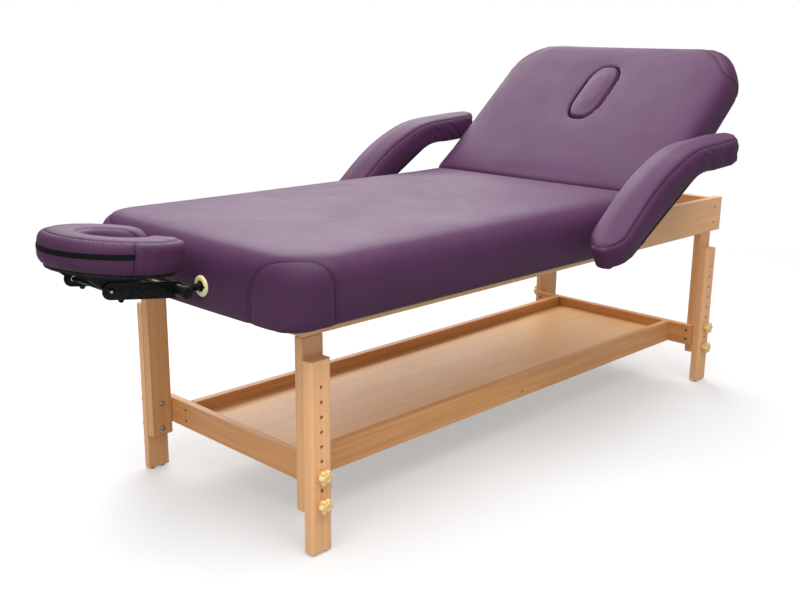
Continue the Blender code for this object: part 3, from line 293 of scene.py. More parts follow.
class Effects:
    """The patterns that several finishes share, each a node group that is built once."""

    def __init__(self) -> None:
        """Builds every shared pattern."""
        self.wood = self.wood_grain()
        self.vinyl = self.vinyl_grain()
        self.seam = self.stitched_seam()
        self.marks = self.handling_marks()
        self.wear = self.edge_wear()

    @staticmethod
    def blank(
        name: str, inputs: Sequence[tuple[str, str]], outputs: Sequence[tuple[str, str]],
    ) -> tuple[ShaderDesk, bpy.types.Node, bpy.types.Node]:
        """Starts a node group.

        Args:
            name: the group's name.
            inputs: (name, socket type) of each input.
            outputs: (name, socket type) of each output.

        Returns:
            The desk of the group's tree, its input node and its output node.
        """
        tree = bpy.data.node_groups.new(name, "ShaderNodeTree")
        for label, kind in inputs:
            tree.interface.new_socket(label, in_out="INPUT", socket_type=kind)
        for label, kind in outputs:
            tree.interface.new_socket(label, in_out="OUTPUT", socket_type=kind)
        desk = ShaderDesk(tree)
        return desk, desk.add("NodeGroupInput"), desk.add("NodeGroupOutput")

    def wood_grain(self) -> bpy.types.NodeTree:
        """Builds the grain of beech: soft growth bands, fine pores and short dark flecks along Z.

        Returns:
            The node group.
        """
        desk, given, out = self.blank(
            "wood_grain",
            [("Vector", "NodeSocketVector"), ("Light", "NodeSocketColor"), ("Dark", "NodeSocketColor"),
             ("Fleck", "NodeSocketColor"), ("Bands", "NodeSocketFloat")],
            [("Color", "NodeSocketColor"), ("Roughness", "NodeSocketFloat"), ("Height", "NodeSocketFloat")],
        )
        vector = given.outputs["Vector"]
        broad = desk.noise(desk.placed(vector, (1, 1, 0.030)), given.outputs["Bands"], 3.0, 0.55, 0.4)
        bands = desk.ease(broad, 0.28, 0.76)
        rings = desk.noise(desk.placed(vector, (1, 1, 0.008)), 170.0, 3.0, 0.6)
        rings = desk.ease(rings, 0.47, 0.66)
        lines = desk.noise(desk.placed(vector, (1, 1, 0.010)), 480.0, 2.0, 0.6)
        pores = desk.ease(lines, 0.46, 0.66)
        short = desk.noise(desk.placed(vector, (1, 1, 0.11)), 1150.0, 1.0)
        flecks = desk.ease(short, 0.63, 0.73)
        tone = desk.mix(desk.maths("MULTIPLY", bands, 0.7), given.outputs["Light"], given.outputs["Dark"])
        ringed = desk.mix(desk.maths("MULTIPLY", rings, 0.5), tone, given.outputs["Dark"])
        lined = desk.mix(desk.maths("MULTIPLY", pores, 0.3), ringed, given.outputs["Dark"])
        colour = desk.mix(desk.maths("MULTIPLY", flecks, 0.45), lined, given.outputs["Fleck"])
        rough = desk.maths("ADD", desk.maths("MULTIPLY", pores, 0.10), 0.38)
        height = desk.maths("SUBTRACT", desk.maths("MULTIPLY", bands, 0.3), desk.maths("ADD", pores, flecks))
        desk.feed(out.inputs["Color"], colour)
        desk.feed(out.inputs["Roughness"], rough)
        desk.feed(out.inputs["Height"], height)
        return desk.tree

    def vinyl_grain(self) -> bpy.types.NodeTree:
        """Builds the fine pebbled grain of upholstery vinyl and its soft unevenness of tone.

        Returns:
            The node group.
        """
        desk, given, out = self.blank(
            "vinyl_grain",
            [("Vector", "NodeSocketVector"), ("Cells", "NodeSocketFloat")],
            [("Height", "NodeSocketFloat"), ("Mottle", "NodeSocketFloat")],
        )
        vector = given.outputs["Vector"]
        pebbles = desk.add("ShaderNodeTexVoronoi", feature="SMOOTH_F1")
        desk.feed(pebbles.inputs["Vector"], vector)
        desk.feed(pebbles.inputs["Scale"], given.outputs["Cells"])
        pebbles.inputs["Smoothness"].default_value = 0.6
        fine = desk.noise(vector, desk.maths("MULTIPLY", given.outputs["Cells"], 2.3), 2.0)
        height = desk.maths("SUBTRACT", desk.maths("MULTIPLY", fine, 0.5), pebbles.outputs["Distance"])
        desk.feed(out.inputs["Height"], height)
        desk.feed(out.inputs["Mottle"], desk.noise(vector, 7.0, 4.0, 0.6))
        return desk.tree

    def stitched_seam(self) -> bpy.types.NodeTree:
        """Builds a sewn seam with a row of stitches beside it.

        The seam's line is where Gap is zero, and Run is the way along it, both in metres. Crease marks that
        line, which the vinyl darkens as painted shade.

        Returns:
            The node group.
        """
        desk, given, out = self.blank(
            "stitched_seam",
            [("Gap", "NodeSocketFloat"), ("Run", "NodeSocketFloat"), ("Offset", "NodeSocketFloat"),
             ("Pitch", "NodeSocketFloat")],
            [("Crease", "NodeSocketFloat"), ("Thread", "NodeSocketFloat"), ("Height", "NodeSocketFloat")],
        )
        away = desk.maths("ABSOLUTE", given.outputs["Gap"])
        crease = desk.ease(away, 0.0007, 0.0021, 1.0, 0.0)
        valley = desk.ease(away, 0.0, 0.006, 1.0, 0.0)
        beside = desk.maths("ABSOLUTE", desk.maths("SUBTRACT", given.outputs["Gap"], given.outputs["Offset"]))
        row = desk.ease(beside, 0.0004, 0.0012, 1.0, 0.0)
        step = desk.maths("FRACT", desk.maths("DIVIDE", given.outputs["Run"], given.outputs["Pitch"]))
        dash = desk.ease(desk.maths("ABSOLUTE", desk.maths("SUBTRACT", step, 0.5)), 0.30, 0.40, 1.0, 0.0)
        thread = desk.maths("MULTIPLY", row, dash)
        sunk = desk.maths("ADD", desk.maths("MULTIPLY", valley, 0.5), crease)
        desk.feed(out.inputs["Crease"], crease)
        desk.feed(out.inputs["Thread"], thread)
        desk.feed(out.inputs["Height"], desk.maths("SUBTRACT", desk.maths("MULTIPLY", thread, 0.4), sunk))
        return desk.tree

    def handling_marks(self) -> bpy.types.NodeTree:
        """Builds the faint uneven gloss that hands and cleaning leave.

        Returns:
            The node group.
        """
        desk, given, out = self.blank(
            "handling_marks", [("Vector", "NodeSocketVector"), ("Scale", "NodeSocketFloat")],
            [("Mask", "NodeSocketFloat")],
        )
        cloudy = desk.noise(given.outputs["Vector"], given.outputs["Scale"], 5.0, 0.65, 0.6)
        desk.feed(out.inputs["Mask"], desk.ease(cloudy, 0.36, 0.70))
        return desk.tree

    def edge_wear(self) -> bpy.types.NodeTree:
        """Builds the rub along outer edges, broken up by noise.

        Returns:
            The node group.
        """
        desk, given, out = self.blank(
            "edge_wear", [("Vector", "NodeSocketVector"), ("Scale", "NodeSocketFloat")],
            [("Mask", "NodeSocketFloat")],
        )
        surface = desk.add("ShaderNodeNewGeometry")
        edges = desk.ease(surface.outputs["Pointiness"], 0.53, 0.62)
        broken = desk.ease(desk.noise(given.outputs["Vector"], given.outputs["Scale"], 3.0), 0.42, 0.62)
        desk.feed(out.inputs["Mask"], desk.maths("MULTIPLY", edges, broken))
        return desk.tree


# Finishes


class Finish:
    """What every finish can do: start a material with its Principled shader."""

    @staticmethod
    def start(name: str) -> tuple[bpy.types.Material, ShaderDesk, bpy.types.Node, bpy.types.NodeSocket]:
        """Starts a material.

        Args:
            name: the material's name.

        Returns:
            The material, the desk of its tree, its shader and its Object coordinates.
        """
        material = bpy.data.materials.new(name)
        material.use_nodes = True
        desk = ShaderDesk(material.node_tree)
        shader = material.node_tree.nodes["Principled BSDF"]
        place = desk.add("ShaderNodeTexCoord").outputs["Object"]
        return material, desk, shader, place


@dataclass(frozen=True)
class VinylFinish(Finish):
    """Upholstery vinyl with its grain, its sewn seams and painted shade in their creases."""

    name: str
    colour: Colour
    deep: Colour
    thread: Colour
    gloss: float
    specular: float
    cells: float = 850.0
    stitch_offset: float = 0.0050
    stitch_pitch: float = 0.0048

    def material(self, effects: Effects) -> bpy.types.Material:
        """Builds the material.

        Args:
            effects: the shared patterns.

        Returns:
            The material, which reads the attributes seam_gap and seam_run.
        """
        material, desk, shader, place = self.start(self.name)
        grain = desk.effect(effects.vinyl, Vector=place, Cells=self.cells)
        gap = desk.add("ShaderNodeAttribute", attribute_name="seam_gap").outputs["Fac"]
        run = desk.add("ShaderNodeAttribute", attribute_name="seam_run").outputs["Fac"]
        seam = desk.effect(effects.seam, Gap=gap, Run=run, Offset=self.stitch_offset, Pitch=self.stitch_pitch)
        rubbed = desk.effect(effects.marks, Vector=place, Scale=5.0)
        tone = desk.mix(desk.ease(grain.outputs["Mottle"], 0.30, 0.72, 0.0, 0.22), self.colour, self.deep)
        # Painted shade: the seam's crease line is darkened toward the deep colour.
        crease_shaded = desk.mix(desk.maths("MULTIPLY", seam.outputs["Crease"], 0.8), tone, self.deep)
        sewn = desk.mix(desk.maths("MULTIPLY", seam.outputs["Thread"], 0.85), crease_shaded, self.thread)
        desk.feed(shader.inputs["Base Color"], sewn)
        gloss = desk.maths("ADD", desk.maths("MULTIPLY", rubbed.outputs["Mask"], 0.07), self.gloss)
        desk.feed(shader.inputs["Roughness"], gloss)
        fine = desk.bump(grain.outputs["Height"], 0.16, 0.0005)
        desk.feed(shader.inputs["Normal"], desk.bump(seam.outputs["Height"], 0.6, 0.0016, fine))
        shader.inputs["Specular IOR Level"].default_value = self.specular
        return material


@dataclass(frozen=True)
class WoodFinish(Finish):
    """Lacquered wood with the grain along its boards and darker end grain."""

    name: str
    light: Colour
    dark: Colour
    fleck: Colour
    bands: float = 70.0
    coat: float = 0.12
    shift: tuple[float, float, float] = (0.0, 0.0, 0.0)

    def material(self, effects: Effects, grain: Grain) -> bpy.types.Material:
        """Builds the material for boards of one direction.

        Args:
            effects: the shared patterns.
            grain: the way the boards run.

        Returns:
            The material.
        """
        material, desk, shader, place = self.start(f"{self.name}_{grain.name.lower()}")
        along = desk.placed(place, turn=grain.value, shift=self.shift)
        board = desk.effect(
            effects.wood, Vector=along, Light=self.light, Dark=self.dark, Fleck=self.fleck, Bands=self.bands,
        )
        facing = desk.add("ShaderNodeSeparateXYZ")
        normal = desk.add("ShaderNodeTexCoord").outputs["Normal"]
        desk.feed(facing.inputs[0], desk.placed(normal, turn=grain.value))
        end_grain = desk.ease(desk.maths("ABSOLUTE", facing.outputs["Z"]), 0.80, 0.97, 0.0, 0.35)
        handled = desk.effect(effects.marks, Vector=place, Scale=9.0)
        colour = desk.mix(end_grain, board.outputs["Color"], self.fleck)
        desk.feed(shader.inputs["Base Color"], colour)
        dulled = desk.maths("MULTIPLY", handled.outputs["Mask"], 0.08)
        desk.feed(shader.inputs["Roughness"], desk.maths("ADD", board.outputs["Roughness"], dulled))
        desk.feed(shader.inputs["Normal"], desk.bump(board.outputs["Height"], 0.22, 0.0003))
        shader.inputs["Coat Weight"].default_value = self.coat
        shader.inputs["Coat Roughness"].default_value = 0.22
        return material


@dataclass(frozen=True)
class HardwareFinish(Finish):
    """Painted, moulded or bare hardware with a fine surface and rubbed edges."""

    name: str
    colour: Colour
    rubbed: Colour
    gloss: float
    metallic: float
    specular: float
    texture: float
    depth: float = 0.0002

    def material(self, effects: Effects) -> bpy.types.Material:
        """Builds the material.

        Args:
            effects: the shared patterns.

        Returns:
            The material.
        """
        material, desk, shader, place = self.start(self.name)
        speckle = desk.noise(place, self.texture, 2.0)
        worn = desk.effect(effects.wear, Vector=place, Scale=160.0)
        handled = desk.effect(effects.marks, Vector=place, Scale=30.0)
        tone = desk.mix(desk.ease(speckle, 0.3, 0.75, 0.0, 0.25), self.colour, self.rubbed)
        desk.feed(shader.inputs["Base Color"], desk.mix(worn.outputs["Mask"], tone, self.rubbed))
        gloss = desk.maths("ADD", desk.maths("MULTIPLY", handled.outputs["Mask"], 0.14), self.gloss)
        desk.feed(shader.inputs["Roughness"], gloss)
        desk.feed(shader.inputs["Normal"], desk.bump(speckle, 0.25, self.depth))
        shader.inputs["Metallic"].default_value = self.metallic
        shader.inputs["Specular IOR Level"].default_value = self.specular
        return material


@dataclass(frozen=True)
class WebbingFinish(Finish):
    """Woven black tape."""

    name: str
    colour: Colour
    raised: Colour
    threads: float = 900.0
    specular: float = 0.1

    def material(self, effects: Effects) -> bpy.types.Material:
        """Builds the material.

        Args:
            effects: the shared patterns.

        Returns:
            The material.
        """
        material, desk, shader, place = self.start(self.name)
        rows = desk.add("ShaderNodeTexWave", wave_type="BANDS", bands_direction="Z")
        desk.feed(rows.inputs["Vector"], place)
        rows.inputs["Scale"].default_value = self.threads / 6
        weft = desk.noise(place, self.threads, 2.0)
        weave = desk.maths("MULTIPLY", rows.outputs["Fac"], weft)
        handled = desk.effect(effects.marks, Vector=place, Scale=40.0)
        desk.feed(shader.inputs["Base Color"], desk.mix(weave, self.colour, self.raised))
        gloss = desk.maths("ADD", desk.maths("MULTIPLY", handled.outputs["Mask"], 0.1), 0.7)
        desk.feed(shader.inputs["Roughness"], gloss)
        desk.feed(shader.inputs["Normal"], desk.bump(weave, 0.5, 0.0004))
        shader.inputs["Specular IOR Level"].default_value = self.specular
        return material


VINYL = VinylFinish(
    "purple_vinyl", (0.064, 0.0205, 0.061), (0.021, 0.0067, 0.020), (0.0165, 0.0055, 0.0155),
    gloss=0.54, specular=0.20,
)
RAIL_BEECH = WoodFinish("rail_beech", (0.86, 0.50, 0.25), (0.76, 0.40, 0.175), (0.52, 0.26, 0.11))
LEG_BEECH = WoodFinish(
    "leg_beech", (0.87, 0.485, 0.235), (0.73, 0.37, 0.155), (0.50, 0.24, 0.10),
    bands=55.0, shift=(0.3, 0.7, 0.1),
)
POST_BEECH = WoodFinish(
    "post_beech", (0.76, 0.41, 0.18), (0.61, 0.305, 0.118), (0.42, 0.19, 0.075),
    bands=60.0, shift=(1.3, 0.2, 0.6),
)
# Beech grain of the shelf rails and cross rails, with a darker, oranger tone that is painted warm shade from
# under the table.
SHADED_SHELF_BEECH = WoodFinish(
    "shelf_beech", (0.76, 0.37, 0.135), (0.57, 0.25, 0.078), (0.38, 0.155, 0.048),
    bands=80.0, shift=(0.8, 1.7, 0.4),
)
VENEER = WoodFinish(
    "shelf_veneer", (0.86, 0.52, 0.23), (0.75, 0.425, 0.17), (0.56, 0.29, 0.11), bands=38.0, coat=0.2,
)
KNOB_WOOD = WoodFinish(
    "knob_wood", (0.88, 0.65, 0.31), (0.80, 0.54, 0.22), (0.58, 0.35, 0.13), bands=120.0, coat=0.3,
)
PLYWOOD = WoodFinish(
    "plywood", (0.62, 0.46, 0.29), (0.50, 0.35, 0.20), (0.36, 0.23, 0.12), bands=35.0, coat=0.0,
)
BLACK_PAINT = HardwareFinish(
    "black_paint", (0.004, 0.004, 0.0045), (0.016, 0.016, 0.017),
    gloss=0.30, metallic=0.0, specular=0.16, texture=1400.0,
)
BLACK_PLASTIC = HardwareFinish(
    "black_plastic", (0.005, 0.005, 0.0055), (0.018, 0.018, 0.019),
    gloss=0.38, metallic=0.0, specular=0.2, texture=2200.0,
)
BLACK_BOARD = HardwareFinish(
    "black_board", (0.006, 0.0055, 0.006), (0.02, 0.018, 0.018),
    gloss=0.55, metallic=0.0, specular=0.2, texture=700.0,
)
STEEL = HardwareFinish(
    "bare_steel", (0.60, 0.60, 0.58), (0.75, 0.75, 0.73),
    gloss=0.26, metallic=1.0, specular=0.5, texture=900.0, depth=0.0001,
)
DULL_STEEL = HardwareFinish(
    "dull_steel", (0.34, 0.33, 0.32), (0.50, 0.49, 0.47),
    gloss=0.42, metallic=1.0, specular=0.5, texture=900.0, depth=0.0001,
)
CREAM_PLASTIC = HardwareFinish(
    "cream_plastic", (0.78, 0.69, 0.36), (0.85, 0.78, 0.50),
    gloss=0.34, metallic=0.0, specular=0.4, texture=500.0, depth=0.0001,
)
GLIDE_PLASTIC = HardwareFinish(
    "glide_plastic", (0.05, 0.05, 0.05), (0.12, 0.12, 0.12),
    gloss=0.5, metallic=0.0, specular=0.4, texture=1200.0,
)
SCREW_BLACK = HardwareFinish(
    "screw_black", (0.003, 0.003, 0.003), (0.006, 0.006, 0.006),
    gloss=0.6, metallic=0.0, specular=0.05, texture=900.0,
)
WEBBING = WebbingFinish("black_webbing", (0.003, 0.0025, 0.0035), (0.007, 0.006, 0.008))


class Palette:
    """Makes each material once and hands it out again."""

    def __init__(self) -> None:
        """Starts with the shared patterns and no materials."""
        self.effects = Effects()
        self.made: dict[tuple, bpy.types.Material] = {}

    def get(self, finish: Finish, grain: Grain | None = None) -> bpy.types.Material:
        """Finds or makes a material.

        Args:
            finish: the finish.
            grain: the way a wood's boards run.

        Returns:
            The material.
        """
        key = (finish, grain)
        if key not in self.made:
            self.made[key] = finish.material(self.effects, grain) if grain else finish.material(self.effects)
        return self.made[key]

    def dress(self, piece: bpy.types.Object, finish: Finish, grain: Grain | None = None) -> None:
        """Gives a piece one material all over.

        Args:
            piece: the piece or CAD node.
            finish: the finish.
            grain: the way a wood's boards run.
        """
        material = self.get(finish, grain)
        if not piece.material_slots:
            piece.data.materials.append(material)
        for slot in piece.material_slots:
            slot.material = material


# Modelling by operators


class Bench:
    """Models one piece at a time with Blender's own operators."""

    SMOOTH = math.radians(35)

    @staticmethod
    def choose(piece: bpy.types.Object) -> None:
        """Selects one piece alone and makes it active."""
        bpy.ops.object.select_all(action="DESELECT")
        piece.select_set(True)
        bpy.context.view_layer.objects.active = piece

    @classmethod
    def lathe(
        cls, name: str, profile: Sequence[tuple[float, float]], points: int = 48, ease: float = 0.0,
    ) -> bpy.types.Object:
        """Raises a round piece level by level around the Z axis.

        Args:
            name: the piece's name.
            profile: (radius, height) of each level; one that ends where it starts makes a tube.
            points: points around the piece.
            ease: the width of its eased edges.

        Returns:
            The piece.
        """
        tube = profile[0] == profile[-1]
        radius, height = profile[0]
        bpy.ops.object.select_all(action="DESELECT")
        bpy.ops.mesh.primitive_circle_add(
            vertices=points, radius=radius, fill_type="NOTHING" if tube else "NGON", location=(0, 0, height),
        )
        piece = bpy.context.object
        piece.name = name
        bpy.ops.object.transform_apply(location=True, rotation=True, scale=True)
        bpy.ops.object.mode_set(mode="EDIT")
        bpy.ops.mesh.select_all(action="SELECT")
        for next_radius, next_height in profile[1:]:
            rise = {"value": (0, 0, next_height - height)}
            bpy.ops.mesh.extrude_region_move(TRANSFORM_OT_translate=rise)
            share = next_radius / radius
            bpy.ops.transform.resize(value=(share, share, 1), center_override=(0, 0, next_height))
            radius, height = next_radius, next_height
        cls.close()
        if ease:
            cls.ease_edges(piece, ease)
        cls.choose(piece)
        bpy.ops.object.shade_smooth_by_angle(angle=cls.SMOOTH)
        return piece

    @staticmethod
    def close() -> None:
        """Merges doubles, turns the faces outwards and leaves edit mode."""
        bpy.ops.mesh.select_all(action="SELECT")
        bpy.ops.mesh.remove_doubles(threshold=1e-6)
        bpy.ops.mesh.normals_make_consistent(inside=False)
        bpy.ops.object.mode_set(mode="OBJECT")

    @classmethod
    def ease_edges(cls, piece: bpy.types.Object, width: float, segments: int = 2) -> None:
        """Rounds the sharp edges of a piece.

        Args:
            piece: the piece.
            width: the width of the rounding.
            segments: its steps.
        """
        bevel = piece.modifiers.new("eased", "BEVEL")
        bevel.width = width
        bevel.segments = segments
        bevel.limit_method = "ANGLE"
        bevel.angle_limit = cls.SMOOTH
        cls.apply(piece, bevel)

    @classmethod
    def apply(cls, piece: bpy.types.Object, modifier: bpy.types.Modifier) -> None:
        """Applies one modifier of a piece."""
        cls.choose(piece)
        bpy.ops.object.modifier_apply(modifier=modifier.name)

    @staticmethod
    def place(piece: bpy.types.Object, point: Vector, axis: Vector) -> bpy.types.Object:
        """Puts a piece's origin at a point and its Z axis along another axis, in its mesh.

        Args:
            piece: the piece.
            point: where its origin goes.
            axis: where its Z axis points.

        Returns:
            The piece.
        """
        turn = Vector(axis).to_track_quat("Z", "Y").to_matrix().to_4x4()
        piece.data.transform(Matrix.Translation(point) @ turn)
        return piece

    @staticmethod
    def copy(piece: bpy.types.Object, name: str) -> bpy.types.Object:
        """Copies a piece with a mesh of its own.

        Args:
            piece: what is copied.
            name: the copy's name.

        Returns:
            The copy.
        """
        twin = bpy.data.objects.new(name, piece.data.copy())
        bpy.context.scene.collection.objects.link(twin)
        return twin

    @staticmethod
    def points(piece: bpy.types.Object) -> np.ndarray:
        """The places of a mesh's points, as rows."""
        flat = np.empty(len(piece.data.vertices) * 3, np.float64)
        piece.data.vertices.foreach_get("co", flat)
        return flat.reshape(-1, 3)

    @staticmethod
    def normals(piece: bpy.types.Object) -> np.ndarray:
        """The outward directions of a mesh's points, as rows."""
        flat = np.empty(len(piece.data.vertices) * 3, np.float32)
        piece.data.vertex_normals.foreach_get("vector", flat)
        return flat.reshape(-1, 3).astype(np.float64)

    @staticmethod
    def move(piece: bpy.types.Object, points: np.ndarray) -> None:
        """Writes the places of a mesh's points."""
        piece.data.vertices.foreach_set("co", points.astype(np.float32).ravel())
        piece.data.update()

    @staticmethod
    def store(piece: bpy.types.Object, name: str, values: np.ndarray) -> None:
        """Writes one number for each point as an attribute."""
        attribute = piece.data.attributes.new(name, "FLOAT", "POINT")
        attribute.data.foreach_set("value", values.astype(np.float32))


# Upholstery


def ease_between(values: np.ndarray, low: float, high: float) -> np.ndarray:
    """Eases from 0 below low to 1 above high.

    Args:
        values: what is read.
        low: the lower limit.
        high: the upper limit.

    Returns:
        The eased values.
    """
    share = np.clip((values - low) / (high - low), 0, 1)
    return share * share * (3 - 2 * share)


def panel_seam(
    across: np.ndarray, up: np.ndarray, half_width: float, height: float, radius: float,
) -> tuple[np.ndarray, np.ndarray]:
    """Measures an arched panel seam, two upright lines joined by a rounded top.

    Args:
        across: each point's way across the panel from its middle.
        up: each point's way up the panel from its foot.
        half_width: half the panel's width.
        height: the panel's height.
        radius: the radius of its top corners.

    Returns:
        Each point's signed distance from the seam and its way along it.
    """
    side, top = np.abs(across) - (half_width - radius), up - (height - radius)
    outside = np.hypot(np.maximum(side, 0), np.maximum(top, 0))
    gap = outside + np.minimum(np.maximum(side, top), 0) - radius
    turn = np.arctan2(np.maximum(top, 0), np.maximum(side, 1e-9))
    run = np.where(top < 0, up, height - radius + radius * turn + np.maximum(-side, 0))
    return gap, run


@dataclass
class Pad:
    """A vinyl-covered foam pad, filled by cloth simulation around its CAD solid."""

    name: str
    node: str
    body: str
    carriers: tuple[str, ...]
    voxel: float
    smoothing: int
    fill: float
    frames: int = 12
    pressure: float = 4.0
    start_inset: float = 0.0015
    swell: float = 0.0030
    sink: float = 0.0010
    evening: int = 24
    held_reach: float = 0.004
    free_reach: float = 0.014
    seam_width: float = 0.007
    seam_depth: float = 0.0014

    def make(self, frame: dict, palette: Palette) -> bpy.types.Object:
        """Builds the pad and puts it in the place of its CAD solid.

        Args:
            frame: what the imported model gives.
            palette: the materials.

        Returns:
            The pad.
        """
        pad = self.blank(frame["nodes"][self.node])
        Bench.move(pad, self.preform(Bench.points(pad)))
        soft = pad.modifiers.new("soft", "SMOOTH")
        soft.factor = 0.5
        soft.iterations = self.smoothing
        Bench.apply(pad, soft)
        self.fill_cover(pad, self.free_share(frame, Bench.points(pad)))
        finer = pad.modifiers.new("finer", "SUBSURF")
        finer.levels = finer.render_levels = 1
        Bench.apply(pad, finer)
        points, normals = Bench.points(pad), Bench.normals(pad)
        gap, run = self.seams(points)
        Bench.store(pad, "seam_gap", gap)
        Bench.store(pad, "seam_run", run)
        valley = np.exp(-((gap / self.seam_width) ** 2)) * self.seam_depth
        shift = normals * (self.shaping(points, normals) - valley)[:, None] + self.fullness(points, normals)
        Bench.move(pad, points + shift * self.free_share(frame, points)[:, None])
        Bench.choose(pad)
        bpy.ops.object.shade_smooth()
        palette.dress(pad, VINYL)
        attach(pad, self.body)
        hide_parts(self.node)
        LOG.info("%s: %d points", self.name, len(pad.data.vertices))
        return pad

    def blank(self, node: bpy.types.Object) -> bpy.types.Object:
        """Copies a CAD solid into an even mesh.

        Args:
            node: the CAD solid's object.

        Returns:
            The new object.
        """
        pad = Bench.copy(node, self.name)
        pad.data.materials.clear()
        Bench.choose(pad)
        bpy.ops.object.mode_set(mode="EDIT")
        Bench.close()
        even = pad.modifiers.new("even", "REMESH")
        even.mode = "VOXEL"
        even.voxel_size = self.voxel
        Bench.apply(pad, even)
        return pad

    def free_share(self, frame: dict, points: np.ndarray) -> np.ndarray:
        """Works out how far each point may move: not at all where the pad lies on what carries it.

        Args:
            frame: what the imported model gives.
            points: the pad's points.

        Returns:
            A share from 0, held, to 1, free.
        """
        nearest = np.full(len(points), 1.0)
        for carrier in self.carriers:
            mesh = frame["nodes"][carrier].data
            tree = BVHTree.FromPolygons([v.co for v in mesh.vertices], [p.vertices for p in mesh.polygons])
            low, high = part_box(carrier)
            reach = self.free_reach
            close = np.all((points > np.array(low) - reach) & (points < np.array(high) + reach), axis=1)
            for i in np.nonzero(close)[0]:
                nearest[i] = min(nearest[i], tree.find_nearest(Vector(points[i]), reach * 2)[3] or 1.0)
        return ease_between(nearest, self.held_reach, self.free_reach)

    def preform(self, points: np.ndarray) -> np.ndarray:
        """Shapes the blank before it is filled, here not at all.

        Args:
            points: the blank's points.

        Returns:
            Their new places.
        """
        return points

    def fill_cover(self, pad: bpy.types.Object, free: np.ndarray) -> None:
        """Fills the cover as cloth under pressure, and caps how far it swells and sinks.

        Args:
            pad: the pad.
            free: how far each point may move.
        """
        base, normals = Bench.points(pad), Bench.normals(pad)
        Bench.move(pad, base - normals * (self.start_inset * free)[:, None])
        group = pad.vertex_groups.new(name="held")
        for i in np.nonzero(free < 0.98)[0]:
            group.add([int(i)], float(1 - free[i]), "REPLACE")
        cloth = pad.modifiers.new("cover", "CLOTH")
        cover = cloth.settings
        cover.quality = 5
        cover.mass = 0.5
        cover.tension_stiffness = cover.compression_stiffness = 15
        cover.shear_stiffness = 10
        cover.bending_stiffness = 4
        cover.use_pressure = True
        cover.uniform_pressure_force = self.pressure
        cover.effector_weights.gravity = 0
        cover.vertex_group_mass = "held"
        scene = bpy.context.scene
        for step in range(1, self.frames + 1):
            scene.frame_set(step)
        graph = bpy.context.evaluated_depsgraph_get()
        moved = Bench.points(pad.evaluated_get(graph))
        pad.modifiers.remove(cloth)
        pad.vertex_groups.clear()
        scene.frame_set(1)
        shift = moved - base
        out = np.sum(shift * normals, axis=1)
        along = shift - normals * out[:, None]
        length = np.linalg.norm(along, axis=1)
        along *= (np.minimum(length, self.swell) / np.maximum(length, 1e-9))[:, None]
        LOG.info("%s: cover moves %.1f to %.1f mm", self.name, out.min() * 1000, out.max() * 1000)
        cap = np.where(out > 0, self.swell, self.sink)
        out = cap * np.tanh(out / cap)
        Bench.move(pad, base + self.evened(pad, along + normals * out[:, None]) * free[:, None])

    def evened(self, pad: bpy.types.Object, shift: np.ndarray) -> np.ndarray:
        """Evens out how the cover moves, so that the fill leaves no kinks.

        Args:
            pad: the pad.
            shift: how each point moves.

        Returns:
            The evened moves.
        """
        ends = np.empty(len(pad.data.edges) * 2, np.int32)
        pad.data.edges.foreach_get("vertices", ends)
        first, second = ends[0::2], ends[1::2]
        neighbours = np.maximum(np.bincount(ends, minlength=len(shift)), 1)[:, None]
        for _ in range(self.evening):
            total = np.zeros_like(shift)
            np.add.at(total, first, shift[second])
            np.add.at(total, second, shift[first])
            shift = (shift + total / neighbours) / 2
        return shift

    def seams(self, points: np.ndarray) -> tuple[np.ndarray, np.ndarray]:
        """Measures the pad's seams, here none.

        Args:
            points: the pad's points.

        Returns:
            Each point's signed distance from the nearest seam and its way along it.
        """
        return np.full(len(points), 1.0), np.zeros(len(points))

    def shaping(self, points: np.ndarray, normals: np.ndarray) -> np.ndarray:
        """Works out the folds that are worked in one by one, here none.

        Args:
            points: the pad's points.
            normals: their outward directions.

        Returns:
            How far each point moves outwards.
        """
        return np.zeros(len(points))

    def fullness(self, points: np.ndarray, normals: np.ndarray) -> np.ndarray:
        """Works out how the foam fills a rounded edge of the cover, here not at all.

        Args:
            points: the pad's points.
            normals: their outward directions.

        Returns:
            How each point moves.
        """
        return np.zeros_like(points)


def tightened(ways: np.ndarray, first: np.ndarray, second: np.ndarray, amount: np.ndarray) -> np.ndarray:
    """Makes the round edge between two faces tighter, by a move of its points towards the sharp edge.

    Args:
        ways: the outward direction of each point.
        first: the outward direction of one face at each point.
        second: that of the other face, at a right angle to it.
        amount: how much smaller the radius becomes at each point.

    Returns:
        How each point moves.
    """
    from_first = amount * (1 - np.sum(ways * first, axis=1))
    from_second = amount * (1 - np.sum(ways * second, axis=1))
    return first * from_first[:, None] + second * from_second[:, None]


def crease_fullness(
    ways: np.ndarray, toward: float, away: np.ndarray, below: np.ndarray, amount: float,
) -> np.ndarray:
    """Fills out the roll where two cushions meet, so that they close the crease between them.

    Args:
        ways: the outward direction of each point, with the cushion flat.
        toward: the sign of X that leads to the other cushion.
        away: each point's distance from the crease.
        below: how far each point lies below the cushion's top.
        amount: how much smaller the roll's radius becomes.

    Returns:
        How each point moves, with the cushion flat.
    """
    share = (1 - ease_between(away, 0.03, 0.12)) * (1 - ease_between(below, 0.03, 0.08))
    share = share * (1 - ease_between(np.abs(ways[:, 1]), 0.2, 0.7))
    lead = np.broadcast_to(np.array([toward, 0.0, 0.0]), ways.shape)
    up = np.broadcast_to(np.array([0.0, 0.0, 1.0]), ways.shape)
    return tightened(ways, lead, up, share * amount)


